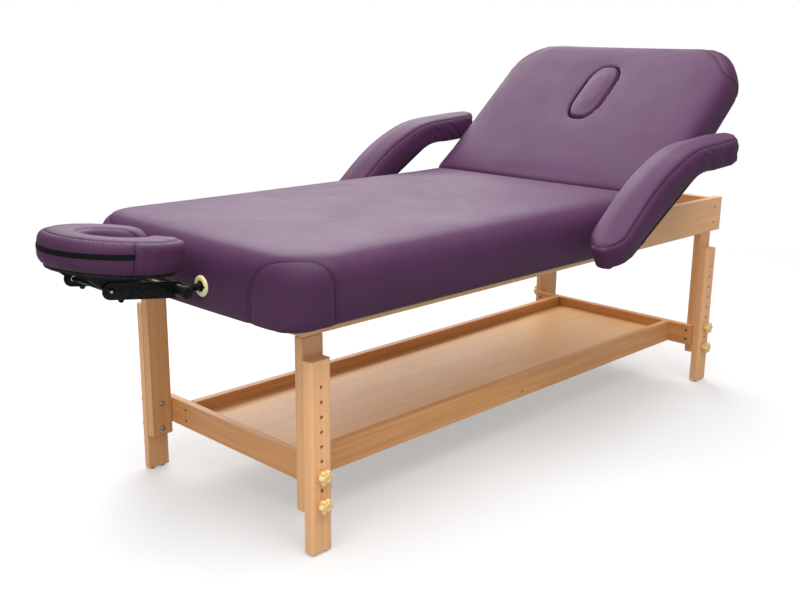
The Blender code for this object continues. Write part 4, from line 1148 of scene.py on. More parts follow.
@dataclass(frozen=True)
class CornerPanels:
    """Arched panels sewn in round two corners of a box cushion."""

    half_width: float = 0.087
    height: float = 0.155
    radius: float = 0.055
    shift: float = 0.025

    def measure(
        self, points: np.ndarray, end: float, corner: float, half_width: float, foot: float, outward: float,
    ) -> tuple[np.ndarray, np.ndarray]:
        """Measures the seams of both corners of one end.

        Args:
            points: the cushion's points, upright, with its end across X.
            end: the X of the end.
            corner: the radius of the cushion's corners.
            half_width: half the cushion's width.
            foot: the height of its lower edge.
            outward: the sign of X that leads out of the end.

        Returns:
            Each point's signed distance from the nearer seam and its way along it.
        """
        way_x = (points[:, 0] - (end - outward * corner)) * outward
        way_y = np.abs(points[:, 1]) - (half_width - corner)
        out = (way_x + way_y) / math.sqrt(2)
        across = (way_x - way_y) / math.sqrt(2) - self.shift
        up = points[:, 2] - foot + np.maximum(corner - out, 0) * 0.5
        return panel_seam(across, up, self.half_width, self.height, self.radius)


@dataclass
class MainPad(Pad):
    """The long cushion of the couch, with a sewn panel round each head corner."""

    corner: float = 0.110
    crease: float = 0.007
    head_drop: float = 0.011
    head_reach: float = 0.010
    side_rise: float = 0.004
    panels: CornerPanels = CornerPanels()

    def preform(self, points: np.ndarray) -> np.ndarray:
        """Draws the lower edge down and out at the head end, and a little up along the sides."""
        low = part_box(self.node)[0]
        head = 1 - ease_between(points[:, 0] - low.x, 0.02, 0.13)
        lower = 1 - ease_between(points[:, 2] - low.z, 0.0, 0.06)
        rise = self.side_rise * (1 - head) - self.head_drop * head
        reach = -self.head_reach * head
        return points + np.stack([reach * lower, np.zeros(len(points)), rise * lower], axis=1)

    def seams(self, points: np.ndarray) -> tuple[np.ndarray, np.ndarray]:
        """Measures the two corner panels at the head end."""
        low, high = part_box(self.node)
        return self.panels.measure(points, low.x, self.corner, high.y, low.z, -1.0)

    def fullness(self, points: np.ndarray, normals: np.ndarray) -> np.ndarray:
        """Fills out the roll at the crease."""
        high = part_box(self.node)[1]
        return crease_fullness(normals, 1.0, high.x - points[:, 0], high.z - points[:, 2], self.crease)


@dataclass(frozen=True)
class Incline:
    """The backrest's own frame, hinge at the origin and flat, with the oval of its breather hole."""

    hinge: tuple[float, float, float]
    tilt: float = math.radians(40)
    hole_centre: float = 0.385
    hole_half_length: float = 0.116
    hole_half_width: float = 0.053
    hole_squareness: float = 2.86

    def turned(self, ways: np.ndarray) -> np.ndarray:
        """Turns directions of the raised backrest into its own frame."""
        cos, sin = math.cos(self.tilt), math.sin(self.tilt)
        return np.stack([
            ways[:, 0] * cos + ways[:, 2] * sin, ways[:, 1], ways[:, 2] * cos - ways[:, 0] * sin,
        ], axis=1)

    def raised(self, ways: np.ndarray) -> np.ndarray:
        """Turns directions of that frame back to the raised backrest."""
        cos, sin = math.cos(self.tilt), math.sin(self.tilt)
        return np.stack([
            ways[:, 0] * cos - ways[:, 2] * sin, ways[:, 1], ways[:, 2] * cos + ways[:, 0] * sin,
        ], axis=1)

    def flat(self, points: np.ndarray) -> np.ndarray:
        """Brings points of the raised backrest into its own frame."""
        return self.turned(points - np.array(self.hinge))

    def from_hole(self, flat: np.ndarray) -> np.ndarray:
        """Measures how far points of that frame lie outside the hole's edge, seen from above."""
        along = flat[:, 0] - self.hole_centre
        share = np.abs(along / self.hole_half_length) ** self.hole_squareness
        share = share + np.abs(flat[:, 1] / self.hole_half_width) ** self.hole_squareness
        reach = np.maximum(share ** (1 / self.hole_squareness), 1e-6)
        return np.hypot(along, flat[:, 1]) * (1 - 1 / reach)

    def edge_move(self, flat: np.ndarray, ways: np.ndarray, outward: float, share: np.ndarray) -> np.ndarray:
        """Works out a tighter top edge at the hole's rim.

        Args:
            flat: points of that frame.
            ways: their outward directions.
            outward: 1 for an edge that faces out of the hole, -1 for one that faces into it.
            share: how much smaller the edge's radius becomes at each point.

        Returns:
            How each point moves, in that frame.
        """
        step = 1e-4
        slopes = [
            self.from_hole(flat + offset) - self.from_hole(flat - offset) for offset in np.eye(3)[:2] * step
        ]
        size = np.maximum(np.hypot(slopes[0], slopes[1]), 1e-12)
        lead = np.stack([slopes[0] / size, slopes[1] / size, np.zeros(len(flat))], axis=1) * outward
        up = np.broadcast_to(np.array([0.0, 0.0, 1.0]), ways.shape)
        return tightened(ways, lead, up, share)


@dataclass
class BackrestPad(Pad):
    """The backrest's cushion, with sewn panels at its top corners and a hole for the plug."""

    incline: Incline = Incline((0.0, 0.0, 0.0))
    length: float = 0.618
    corner: float = 0.140
    foot: float = -0.082
    crease: float = 0.007
    crease_start: float = 0.005
    top: float = 0.029
    rim_fullness: float = 0.005
    lip_depth: float = 0.002
    lip_width: float = 0.010
    panels: CornerPanels = CornerPanels(half_width=0.086, height=0.129, radius=0.030, shift=0.006)

    def seams(self, points: np.ndarray) -> tuple[np.ndarray, np.ndarray]:
        """Measures the two corner panels at the top end."""
        flat, half_width = self.incline.flat(points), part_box(self.node)[1].y
        return self.panels.measure(flat, self.length, self.corner, half_width, self.foot, 1.0)

    def shaping(self, points: np.ndarray, normals: np.ndarray) -> np.ndarray:
        """Rolls the vinyl in around the plug's hole."""
        flat = self.incline.flat(points)
        upper = ease_between(flat[:, 2], -0.01, 0.01)
        return -self.lip_depth * np.exp(-((self.incline.from_hole(flat) / self.lip_width) ** 2)) * upper

    def fullness(self, points: np.ndarray, normals: np.ndarray) -> np.ndarray:
        """Fills out the roll at the crease and the edge of the plug's hole."""
        flat, ways = self.incline.flat(points), self.incline.turned(normals)
        below = self.top - flat[:, 2]
        crease = crease_fullness(ways, -1.0, flat[:, 0] - self.crease_start, below, self.crease)
        near = 1 - ease_between(np.abs(self.incline.from_hole(flat)), 0.012, 0.035)
        share = self.rim_fullness * near * (1 - ease_between(below, 0.015, 0.035))
        return self.incline.raised(crease + self.incline.edge_move(flat, ways, -1.0, share))


@dataclass
class PlugPad(Pad):
    """The breather plug's cushion, with a seam round its rim."""

    incline: Incline = Incline((0.0, 0.0, 0.0))
    rim: float = 0.007
    rim_level: float = 0.020
    rim_fullness: float = 0.005

    def seams(self, points: np.ndarray) -> tuple[np.ndarray, np.ndarray]:
        """Measures the seam that runs round the top of the rim."""
        flat = self.incline.flat(points)
        gap = self.incline.from_hole(flat) + self.rim
        way = np.arctan2(flat[:, 1], flat[:, 0] - self.incline.hole_centre) * self.incline.hole_half_length
        return np.where(flat[:, 2] > self.rim_level, gap, 1.0), way

    def fullness(self, points: np.ndarray, normals: np.ndarray) -> np.ndarray:
        """Fills out the plug's top edge."""
        flat, ways = self.incline.flat(points), self.incline.turned(normals)
        near = 1 - ease_between(np.abs(self.incline.from_hole(flat)), 0.014, 0.035)
        share = self.rim_fullness * near * ease_between(flat[:, 2], 0.0, 0.015)
        return self.incline.raised(self.incline.edge_move(flat, ways, 1.0, share))


@dataclass
class ArmrestPad(Pad):
    """A bent armrest's pad, with a sewn top edge and gathers where its cover is drawn round the ends."""

    middle: float = 0.0
    bend: tuple[float, float] = (0.0, 0.0)
    lower_angle: float = math.radians(31)
    upper_angle: float = math.radians(4)
    lower_length: float = 0.428
    upper_length: float = 0.246
    bend_radius: float = 0.300
    width: float = 0.115
    thickness: float = 0.056
    edge: float = 0.018
    crown: float = 0.004
    seam_turn: float = math.radians(48)
    wrap: float = 0.0130
    elbow_fullness: float = 0.033
    elbow_start: float = -0.04
    elbow_length: float = 0.56
    upper_drop: float = 0.011
    upper_drop_reach: tuple[float, float] = (0.30, 0.12)
    wrap_height: float = 0.030
    bare_start: float = 0.080
    bare_end: float = 0.350
    bare_share: float = 0.65
    bare_fade: float = 0.03
    flat_end: float = 0.035
    end_depth: float = 0.030
    end_fullness: float = 0.0100
    gather_spacing: float = 0.028
    gather_depth: float = 0.0030
    pleat_spacing: float = 0.012
    pleat_depth: float = 0.0012

    def path(self) -> tuple[np.ndarray, np.ndarray]:
        """Follows the middle of the pad's top from its lower end up.

        Returns:
            Points in XZ along the path and the way along it at each.
        """
        lower = np.array([math.cos(self.lower_angle), math.sin(self.lower_angle)])
        upper = np.array([math.cos(self.upper_angle), math.sin(self.upper_angle)])
        bend = np.array(self.bend)
        fold = self.lower_angle - self.upper_angle
        tangent = self.bend_radius * math.tan(fold / 2)
        centre = bend - lower * tangent - np.array([-lower[1], lower[0]]) * self.bend_radius
        straight = np.linspace(0, self.lower_length - tangent, 60)
        first = [bend - lower * (self.lower_length - t) for t in straight]
        turns = np.linspace(self.lower_angle, self.upper_angle, 40)
        round_part = [centre + np.array([-math.sin(a), math.cos(a)]) * self.bend_radius for a in turns]
        last = [bend + upper * t for t in np.linspace(tangent, self.upper_length, 40)]
        line = np.array(first + round_part[1:-1] + last)
        way = np.concatenate([[0], np.cumsum(np.linalg.norm(np.diff(line, axis=0), axis=1))])
        return line, way

    def stretch(self, along: np.ndarray) -> np.ndarray:
        """Works out how much thicker the pad is than its CAD solid at each way along it."""
        share = np.clip((along - self.elbow_start) / self.elbow_length, 0, 1)
        return 1 + self.elbow_fullness / self.thickness * np.sin(share * math.pi) ** 2

    def unrolled(
        self, points: np.ndarray, blank: bool = False,
    ) -> tuple[np.ndarray, np.ndarray, np.ndarray, float, np.ndarray]:
        """Straightens the pad.

        Args:
            points: the pad's points.
            blank: whether they are still those of the CAD solid.

        Returns:
            Each point's way along the pad, across it and up from its underside, as in the CAD solid, the
            pad's length, and the direction along the pad at each point.
        """
        line, way = self.path()
        flat = points[:, [0, 2]]
        best = np.full(len(flat), 1e9)
        along, up = np.zeros(len(flat)), np.zeros(len(flat))
        ahead_of = np.zeros((len(flat), 3))
        for i in range(len(line) - 1):
            step = line[i + 1] - line[i]
            size = np.linalg.norm(step)
            ahead = (flat - line[i]) @ step / size
            low = -1.0 if i == 0 else 0.0
            high = size + 1.0 if i == len(line) - 2 else size
            held = np.clip(ahead, low, high)
            height = (flat - line[i]) @ np.array([-step[1], step[0]]) / size
            distance = np.hypot(ahead - held, height)
            closer = distance < best
            best = np.where(closer, distance, best)
            along = np.where(closer, way[i] + held, along)
            up = np.where(closer, height, up)
            ahead_of[closer] = (step[0] / size, 0.0, step[1] / size)
        up = up + self.thickness
        if not blank:
            up = np.where(up > 0, up / self.stretch(along), up)
        return along, points[:, 1] - self.middle, up, way[-1], ahead_of

    @staticmethod
    def upwards(ahead: np.ndarray) -> np.ndarray:
        """Turns the directions along the pad into those that lead up from it."""
        return np.stack([-ahead[:, 2], ahead[:, 1], ahead[:, 0]], axis=1)

    def preform(self, points: np.ndarray) -> np.ndarray:
        """Fills the elbow, wraps the board, less so in the middle, and rounds the flat ends."""
        along, across, up, length, ahead = self.unrolled(points, blank=True)
        fade, depth = self.bare_fade, self.end_depth
        middle = ease_between(along, self.bare_start - fade, self.bare_start + fade)
        middle = middle * (1 - ease_between(along, self.bare_end - fade, self.bare_end + fade))
        drop = self.wrap * (1 - self.bare_share * middle)
        start, full = self.upper_drop_reach
        drop = drop + self.upper_drop * ease_between(along, length - start, length - full)
        drop = drop * (1 - ease_between(up, 0.0, self.wrap_height))
        bulge = self.end_fullness * np.clip(1 - (across / self.flat_end) ** 2, 0, 1)
        outwards = ease_between(along, length - depth, length) - (1 - ease_between(along, 0.0, depth))
        rise = np.maximum(up, 0) * (self.stretch(along) - 1) - drop
        return points + self.upwards(ahead) * rise[:, None] + ahead * (bulge * outwards)[:, None]

    def seams(self, points: np.ndarray) -> tuple[np.ndarray, np.ndarray]:
        """Measures the seam round the pad's top edge."""
        along, across, up, length, _ = self.unrolled(points)
        half = self.width / 2
        past = np.maximum(np.maximum(half - along, along - (length - half)), 0)
        inset = half - np.hypot(across, past)
        level = self.thickness - self.crown - self.edge
        turn = np.arctan2(np.maximum(up - level, 0), np.maximum(self.edge - inset, 1e-9))
        gap = (turn - self.seam_turn) * self.edge
        gap = gap + np.maximum(inset - self.edge, 0) - np.maximum(level - up, 0)
        return gap, along + np.sign(across) * past

    def shaping(self, points: np.ndarray, normals: np.ndarray) -> np.ndarray:
        """Gathers the sides near the upper end and pleats the seam round the lower end."""
        along, across, up, length, ahead = self.unrolled(points)
        level = np.abs(np.sum(normals * self.upwards(ahead), axis=1))
        beside = ease_between(1 - level, 0.10, 0.55)
        window = ease_between(along, length - 0.34, length - 0.20)
        fade = 1 - ease_between(up, self.thickness * 0.40, self.thickness * 0.88)
        slant = along + up * 0.8 + 0.007 * np.sin(along * 2 * math.pi / 0.083)
        folds = np.sin(slant * 2 * math.pi / self.gather_spacing)
        gathers = self.gather_depth * (folds * 0.5 + np.abs(folds) * 0.4 - 0.5) * window * fade * beside
        half = self.width / 2
        round_end = ease_between(half - along, 0.0, half * 0.5)
        turn = np.arctan2(across, np.maximum(half - along, 1e-6)) * half
        pleats = np.sin(turn * 2 * math.pi / self.pleat_spacing) * 0.5 - 0.5
        gap, _ = self.seams(points)
        at_seam = np.where(gap > 0, np.exp(-((gap / 0.009) ** 2)), np.exp(-((gap / 0.006) ** 2)))
        return gathers + self.pleat_depth * pleats * round_end * at_seam


@dataclass
class HeadrestPad(Pad):
    """The crescent face pad, with a sewn top edge and two upright seams where the band ends."""

    pivot: tuple[float, float, float] = (0.0, 0.0, 0.0)
    tilt: float = math.radians(7)
    forward: float = 0.0454
    radius: float = 0.102
    width: float = 0.088
    thickness: float = 0.069
    floor: float = 0.0386
    seam_turn: float = math.radians(45)
    seam_reach: float = 0.046
    band_reach: float = math.radians(76)
    spread: float = 0.0020
    top_fullness: float = 0.0010
    foot_fullness: float = 0.0015
    pleat_spacing: float = 0.0090
    pleat_depth: float = 0.0013

    def unrolled(self, points: np.ndarray) -> tuple[np.ndarray, np.ndarray, np.ndarray]:
        """Straightens the crescent.

        Args:
            points: the pad's points.

        Returns:
            Each point's angle from the front, its way outwards from the middle line and its height.
        """
        cos, sin = math.cos(self.tilt), math.sin(self.tilt)
        away = points - np.array(self.pivot)
        x = away[:, 0] * cos - away[:, 2] * sin - self.forward
        up = away[:, 0] * sin + away[:, 2] * cos - self.floor
        return np.arctan2(away[:, 1], -x), np.hypot(x, away[:, 1]) - self.radius, up

    def rolled(self, angle: np.ndarray, out: np.ndarray, up: np.ndarray) -> np.ndarray:
        """Bends straightened places back round the crescent.

        Args:
            angle: each place's angle from the front.
            out: its way outwards from the middle line.
            up: its height.

        Returns:
            The points.
        """
        cos, sin = math.cos(self.tilt), math.sin(self.tilt)
        x = self.forward - np.cos(angle) * (self.radius + out)
        z = up + self.floor
        away = np.stack([x * cos + z * sin, np.sin(angle) * (self.radius + out), z * cos - x * sin], axis=1)
        return away + np.array(self.pivot)

    def preform(self, points: np.ndarray) -> np.ndarray:
        """Spreads the blank a little, by as much as smoothing takes away."""
        angle, out, up = self.unrolled(points)
        spread = np.sign(out) * self.spread * ease_between(np.abs(out), 0.015, 0.035)
        rise = self.top_fullness * ease_between(up, self.thickness * 0.6, self.thickness)
        drop = self.foot_fullness * (1 - ease_between(up, 0.0, self.thickness * 0.4))
        return self.rolled(angle, out + spread, up + rise - drop)

    def from_top_seam(self, out: np.ndarray, up: np.ndarray) -> np.ndarray:
        """Measures how far points lie above the seam round the pad's top edge.

        Args:
            out: each point's way outwards from the middle line.
            up: its height.

        Returns:
            The distance along the cover, less than zero below the seam.
        """
        turn = np.arctan2(up - self.thickness / 2, np.abs(out))
        return (turn - self.seam_turn) * self.seam_reach

    def seams(self, points: np.ndarray) -> tuple[np.ndarray, np.ndarray]:
        """Measures the seam round the pad's top edge and the upright ones beside the band."""
        angle, out, up = self.unrolled(points)
        top = self.from_top_seam(out, up)
        outer = self.radius + self.width / 2
        upright = np.where(out > 0, (np.abs(angle) - self.band_reach) * outer, 1.0)
        upright = np.where(top > 0, 1.0, upright)
        nearer = np.abs(upright) < np.abs(top)
        return np.where(nearer, upright, top), np.where(nearer, up, angle * outer)

    def shaping(self, points: np.ndarray, normals: np.ndarray) -> np.ndarray:
        """Puckers the side under the top seam."""
        angle, out, up = self.unrolled(points)
        run = angle * (self.radius + self.width / 2)
        pucker = np.sin(run * 2 * math.pi / self.pleat_spacing) * 0.5 - 0.5
        return self.pleat_depth * pucker * np.exp(-(((self.from_top_seam(out, up) + 0.006) / 0.006) ** 2))


# Sub-assemblies


@dataclass
class WoodenFrame:
    """Rails, legs, shelf and deck: CAD boards in their woods, with their screws."""

    screw_depth: float = 0.0025
    rail_screw_inset: float = 0.043
    rail_screw_levels: tuple[float, float] = (0.5125, 0.5625)
    shelf_screw_levels: tuple[float, float] = (0.1435, 0.1715)
    head_screw_y: float = 0.2165
    back_screw_y: float = 0.2885
    batten_screw_z: float = 0.1397

    def make(self, frame: dict, palette: Palette) -> None:
        """Dresses the boards and drives their screws.

        Args:
            frame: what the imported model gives.
            palette: the materials.
        """
        self.dress(frame, palette)
        self.screws(palette)

    def screws(self, palette: Palette) -> None:
        """Sets a dark socket-headed screw into every screw hole.

        Args:
            palette: the materials.
        """
        model = Bench.lathe("screw_model", [
            (0.0030, -0.0030), (0.0036, -0.0028), (0.0036, -0.0004), (0.0032, 0.0), (0.0017, 0.0),
            (0.0014, -0.0014), (0.0004, -0.0014),
        ], points=24)
        holes: list[tuple[Vector, Vector]] = []
        for side in Side:
            rail_low, rail_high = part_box(f"side_rail_{side.label}")
            face = (rail_low if side is Side.NEAR else rail_high).y
            inset = rail_high.x - self.rail_screw_inset
            for level in self.rail_screw_levels:
                holes.append((Vector((inset, face, level)), Vector((0, side.value, 0))))
            for end, reach in ((End.HEAD, self.head_screw_y), (End.BACK, self.back_screw_y)):
                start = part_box(f"shelf_cross_{end.value}")[0].x
                for level in self.shelf_screw_levels:
                    holes.append((Vector((start, side.value * reach, level)), Vector((-1, 0, 0))))
            shelf_low, shelf_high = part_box(f"shelf_rail_{side.label}")
            face = (shelf_low if side is Side.NEAR else shelf_high).y
            middle = (shelf_low.x + shelf_high.x) / 2
            holes.append((Vector((middle, face, self.batten_screw_z)), Vector((0, side.value, 0))))
        for i, (point, outward) in enumerate(holes):
            screw = Bench.copy(model, f"board_screw_{i:02d}")
            Bench.place(screw, point - outward * self.screw_depth, outward)
            palette.dress(screw, SCREW_BLACK)
            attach(screw, "frame")
        bpy.data.objects.remove(model)
        LOG.info("screws: %d", len(holes))

    def dress(self, frame: dict, palette: Palette) -> None:
        """Gives every board its wood.

        Args:
            frame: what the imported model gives.
            palette: the materials.
        """
        boards: dict[str, tuple[WoodFinish, Grain]] = {
            "head_rail": (RAIL_BEECH, Grain.CROSSWISE),
            "hinge_rail": (RAIL_BEECH, Grain.CROSSWISE),
            "back_rail": (RAIL_BEECH, Grain.CROSSWISE),
            "shelf_panel": (VENEER, Grain.LENGTHWISE),
            "shelf_batten": (SHADED_SHELF_BEECH, Grain.CROSSWISE),
            "main_deck": (PLYWOOD, Grain.LENGTHWISE),
            "backrest_board": (PLYWOOD, Grain.CROSSWISE),
        }
        for side in Side:
            boards[f"side_rail_{side.label}"] = (RAIL_BEECH, Grain.LENGTHWISE)
            boards[f"shelf_rail_{side.label}"] = (SHADED_SHELF_BEECH, Grain.LENGTHWISE)
            for end in End:
                boards[f"upper_leg_{side.label}_{end.value}"] = (POST_BEECH, Grain.UPRIGHT)
                boards[f"lower_leg_{side.label}_{end.value}"] = (LEG_BEECH, Grain.UPRIGHT)
        for end in End:
            boards[f"shelf_cross_{end.value}"] = (SHADED_SHELF_BEECH, Grain.CROSSWISE)
        for name, (finish, grain) in boards.items():
            palette.dress(frame["nodes"][name], finish, grain)
        for side in Side:
            for end in End:
                palette.dress(frame["nodes"][f"foot_{side.label}_{end.value}"], GLIDE_PLASTIC)
        LOG.info("wooden boards: %d", len(boards))


@dataclass
class StarKnobs:
    """Turned wooden star knobs on steel studs, with the plate nuts they screw into."""

    radius: float = 0.0178
    lobes: int = 6
    lobe_depth: float = 0.0050
    lobe_sharpness: float = 1.5
    neck_radius: float = 0.0093
    neck: float = 0.006
    height: float = 0.0198
    boss_radius: float = 0.0098
    boss_rise: float = 0.0017
    stud_radius: float = 0.0039
    thread_pitch: float = 0.0016
    nut_radius: float = 0.0068
    nut_height: float = 0.0010

    def model(self) -> bpy.types.Object:
        """Models one knob upright on its axis, with its foot at the origin.

        Returns:
            The knob.
        """
        rim, boss, face = self.radius, self.boss_radius, self.height
        top = face - self.boss_rise
        knob = Bench.lathe("star_knob_model", [
            (self.neck_radius, 0.0), (self.neck_radius, self.neck), (rim * 0.86, self.neck),
            (rim * 0.96, self.neck + 0.0012), (rim, self.neck + 0.0036), (rim, top - 0.0036),
            (rim * 0.97, top - 0.0016), (rim * 0.88, top - 0.0003), (rim * 0.74, top),
            (boss, top - 0.0002), (boss - 0.0004, top + self.boss_rise * 0.7), (boss - 0.0013, face),
            (0.0062, face), (0.0057, face - 0.0009), (0.0020, face - 0.0009),
        ], points=96)
        points = Bench.points(knob)
        reach = np.hypot(points[:, 0], points[:, 1])
        turn = np.arctan2(points[:, 1], points[:, 0])
        hollow = (0.5 - 0.5 * np.cos(self.lobes * turn)) ** self.lobe_sharpness * self.lobe_depth
        share = ease_between(reach, 0.0095, rim * 0.80) * ease_between(points[:, 2], 0.0, self.neck * 1.02)
        points[:, :2] *= (1 - hollow * share / np.maximum(reach, 1e-6))[:, None]
        Bench.move(knob, points)
        return knob

    def stud(self, length: float) -> bpy.types.Object:
        """Models a threaded stud that runs down from the origin.

        Args:
            length: its length.

        Returns:
            The stud.
        """
        crest, root = self.stud_radius, self.stud_radius - 0.0005
        profile = [(root * 0.8, -length)]
        level = -length + 0.0006
        while level < -self.thread_pitch:
            profile += [(root, level), (crest, level + self.thread_pitch / 2)]
            level += self.thread_pitch
        return Bench.lathe("stud_model", profile + [(root, -0.0002)], points=20)

    def make(self, frame: dict, palette: Palette) -> None:
        """Puts a knob and its stud on every knob joint, and a plate nut where a leg stud ends.

        Args:
            frame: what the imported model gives.
            palette: the materials.
        """
        model = self.model()
        rim, rise, stud_rim = self.nut_radius, self.nut_height, self.stud_radius
        nut_model = Bench.lathe("nut_model", [
            (rim, 0.0), (rim, rise * 0.6), (rim * 0.9, rise), (stud_rim * 1.5, rise),
            (stud_rim * 1.4, rise * 2), (stud_rim * 1.04, rise * 2), (stud_rim * 1.04, 0.0), (rim, 0.0),
        ], points=32)
        for joint in frame["joints"]:
            node = joint["child"]
            if not node.startswith(("star_knob", "stay_knob")):
                continue
            point, axis = Vector(joint["pos_m"]), Vector(joint["axis"])
            low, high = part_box(node)
            length = abs((high if axis.y < 0 else low).y - point.y)
            knob = Bench.place(Bench.copy(model, f"{node}_grip"), point, axis)
            stud = Bench.place(self.stud(length), point, axis)
            stud.name = f"{node}_stud"
            palette.dress(knob, KNOB_WOOD, Grain.CROSSWISE)
            palette.dress(stud, STEEL)
            for piece, slot in ((knob, "knob_wood"), (stud, "steel")):
                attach(piece, node)
            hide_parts(node)
            if node.startswith("star_knob"):
                leg = "_".join(node.split("_")[2:4])
                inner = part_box(f"upper_leg_{leg}")[0 if axis.y > 0 else 1].y
                nut = Bench.copy(nut_model, f"{node}_nut")
                Bench.place(nut, Vector((point.x, inner, point.z)), -axis)
                palette.dress(nut, DULL_STEEL)
                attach(nut, "frame")
            LOG.info("%s: knob and stud", node)
        for spare in (model, nut_model):
            bpy.data.objects.remove(spare)


@dataclass
class Hardware:
    """The headrest's and armrests' metal and plastic pieces."""

    socket_bore: float = 0.0085
    socket_mouth: float = 0.0122
    socket_wall: float = 0.0110
    socket_length: float = 0.1148
    socket_screw_reach: float = 0.0150
    axle_length: float = 0.1979
    pin_head_y: float = 0.0805
    bracket_face_y: float = 0.0690

    def make(self, frame: dict, palette: Palette) -> None:
        """Models the smooth turned pieces and dresses the rest.

        Args:
            frame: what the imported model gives.
            palette: the materials.
        """
        for side in Side:
            self.socket(side, palette)
        self.cam_knob(palette)
        self.rivets(Vector(joint_place(frame, "headrest_tilt")), palette)
        self.dress(frame, palette)

    def socket(self, side: Side, palette: Palette) -> None:
        """Models a flanged socket with the screw beside its bore, and a black ring in its mouth as painted
        shade of the bore.

        Args:
            side: the side it is on.
            palette: the materials.
        """
        bore, wall = self.socket_bore, self.socket_wall
        name = f"headrest_socket_{side.label}"
        low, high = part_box(name)
        seat = Vector((high.x - self.socket_length, (low.y + high.y) / 2, (low.z + high.z) / 2))
        mouth = self.socket_mouth
        flange = [
            (bore, 0.0010), (mouth, 0.0010), (mouth, 0.0043), (mouth + 0.0009, 0.0050), (0.0172, 0.0049),
            (0.0206, 0.0040), (0.0226, 0.0024), (0.0230, 0.0010), (0.0227, 0.0), (wall, 0.0),
            (wall, -self.socket_length), (bore, -self.socket_length), (bore, 0.0010),
        ]
        # Painted shade: a thin black ring in the socket's mouth darkens the bore's opening.
        shade_ring = Bench.lathe(f"socket_liner_{side.label}", [
            (bore, 0.0011), (mouth - 0.0001, 0.0011), (mouth - 0.0001, 0.0017), (bore + 0.0006, 0.0020),
            (bore, 0.0017), (bore, 0.0011),
        ], points=48)
        Bench.place(shade_ring, seat, Vector((-1, 0, 0)))
        palette.dress(shade_ring, BLACK_PLASTIC)
        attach(shade_ring, "frame")
        socket = Bench.place(Bench.lathe(f"socket_{side.label}", flange, points=64), seat, Vector((-1, 0, 0)))
        palette.dress(socket, CREAM_PLASTIC)
        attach(socket, "frame")
        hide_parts(name)
        screw = Bench.lathe(f"socket_screw_{side.label}", [
            (0.0026, 0.0040), (0.0026, 0.0052), (0.0019, 0.0057), (0.0008, 0.0058),
        ], points=24)
        Bench.place(screw, seat - Vector((0, self.socket_screw_reach, 0)), Vector((-1, 0, 0)))
        palette.dress(screw, BLACK_PAINT)
        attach(screw, "frame")

    def cam_knob(self, palette: Palette) -> None:
        """Models the axle with its nut and its ringed round knob.

        Args:
            palette: the materials.
        """
        low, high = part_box("headrest_cam_knob")
        reach = self.axle_length
        profile = [(0.0066, -reach - 0.0057), (0.0075, -reach - 0.0050), (0.0075, -reach), (0.0040, -reach)]
        profile += [(0.0040, 0.0), (0.0120, 0.0), (0.0133, 0.0012)]
        for ring in (0.0055, 0.0125):
            profile += [(0.0134, ring - 0.0008), (0.0128, ring - 0.0004), (0.0128, ring + 0.0004)]
            profile.append((0.0134, ring + 0.0008))
        profile += [(0.0134, 0.0180), (0.0124, 0.0197), (0.0096, 0.0199), (0.0090, 0.0188), (0.0038, 0.0188)]
        seat = Vector(((low.x + high.x) / 2, low.y + 0.020, (low.z + high.z) / 2))
        knob = Bench.place(Bench.lathe("cam_knob", profile), seat, Vector((0, -1, 0)))
        palette.dress(knob, BLACK_PLASTIC)
        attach(knob, "headrest_cam_knob")
        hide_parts("headrest_cam_knob")

    def rivets(self, pivot: Vector, palette: Palette) -> None:
        """Models the bright rivet ends of the tilt pin, outside the arms and inside the bracket.

        Args:
            pivot: the middle of the tilt pin.
            palette: the materials.
        """
        dome = [(0.0034, -0.0004), (0.0034, 0.0005), (0.0029, 0.0011), (0.0019, 0.0015), (0.0008, 0.0016)]
        ring = [
            (0.0041, -0.0004), (0.0055, -0.0004), (0.0055, 0.0007), (0.0049, 0.0012), (0.0041, 0.0009),
            (0.0041, -0.0004),
        ]
        for side in Side:
            outward = Vector((0, side.value, 0))
            ends = (
                ("rivet", dome, pivot + outward * self.pin_head_y, outward),
                ("rivet_ring", ring, pivot + outward * self.bracket_face_y, -outward),
            )
            for word, profile, seat, axis in ends:
                piece = Bench.place(Bench.lathe(f"{word}_{side.label}", profile, points=32), seat, axis)
                palette.dress(piece, STEEL)
                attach(piece, "headrest_arm")

    def dress(self, frame: dict, palette: Palette) -> None:
        """Gives the plain hardware its finishes.

        Args:
            frame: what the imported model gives.
            palette: the materials.
        """
        finishes: dict[str, Finish] = {
            "hinge_leaf_fixed": BLACK_PAINT, "hinge_leaf_moving": BLACK_PAINT, "hinge_pin": STEEL,
            "headrest_fork": BLACK_PAINT, "headrest_arm": BLACK_PAINT, "headrest_bracket": BLACK_PAINT,
            "headrest_platform": BLACK_BOARD, "headrest_tilt_pin": BLACK_PAINT,
        }
        for side in Side:
            finishes[f"backrest_stay_{side.label}"] = BLACK_PAINT
            finishes[f"armrest_board_{side.label}"] = BLACK_BOARD
            finishes[f"armrest_bolt_{side.label}"] = BLACK_PLASTIC
        for name, finish in finishes.items():
            palette.dress(frame["nodes"][name], finish)
        LOG.info("hardware: %d", len(finishes))


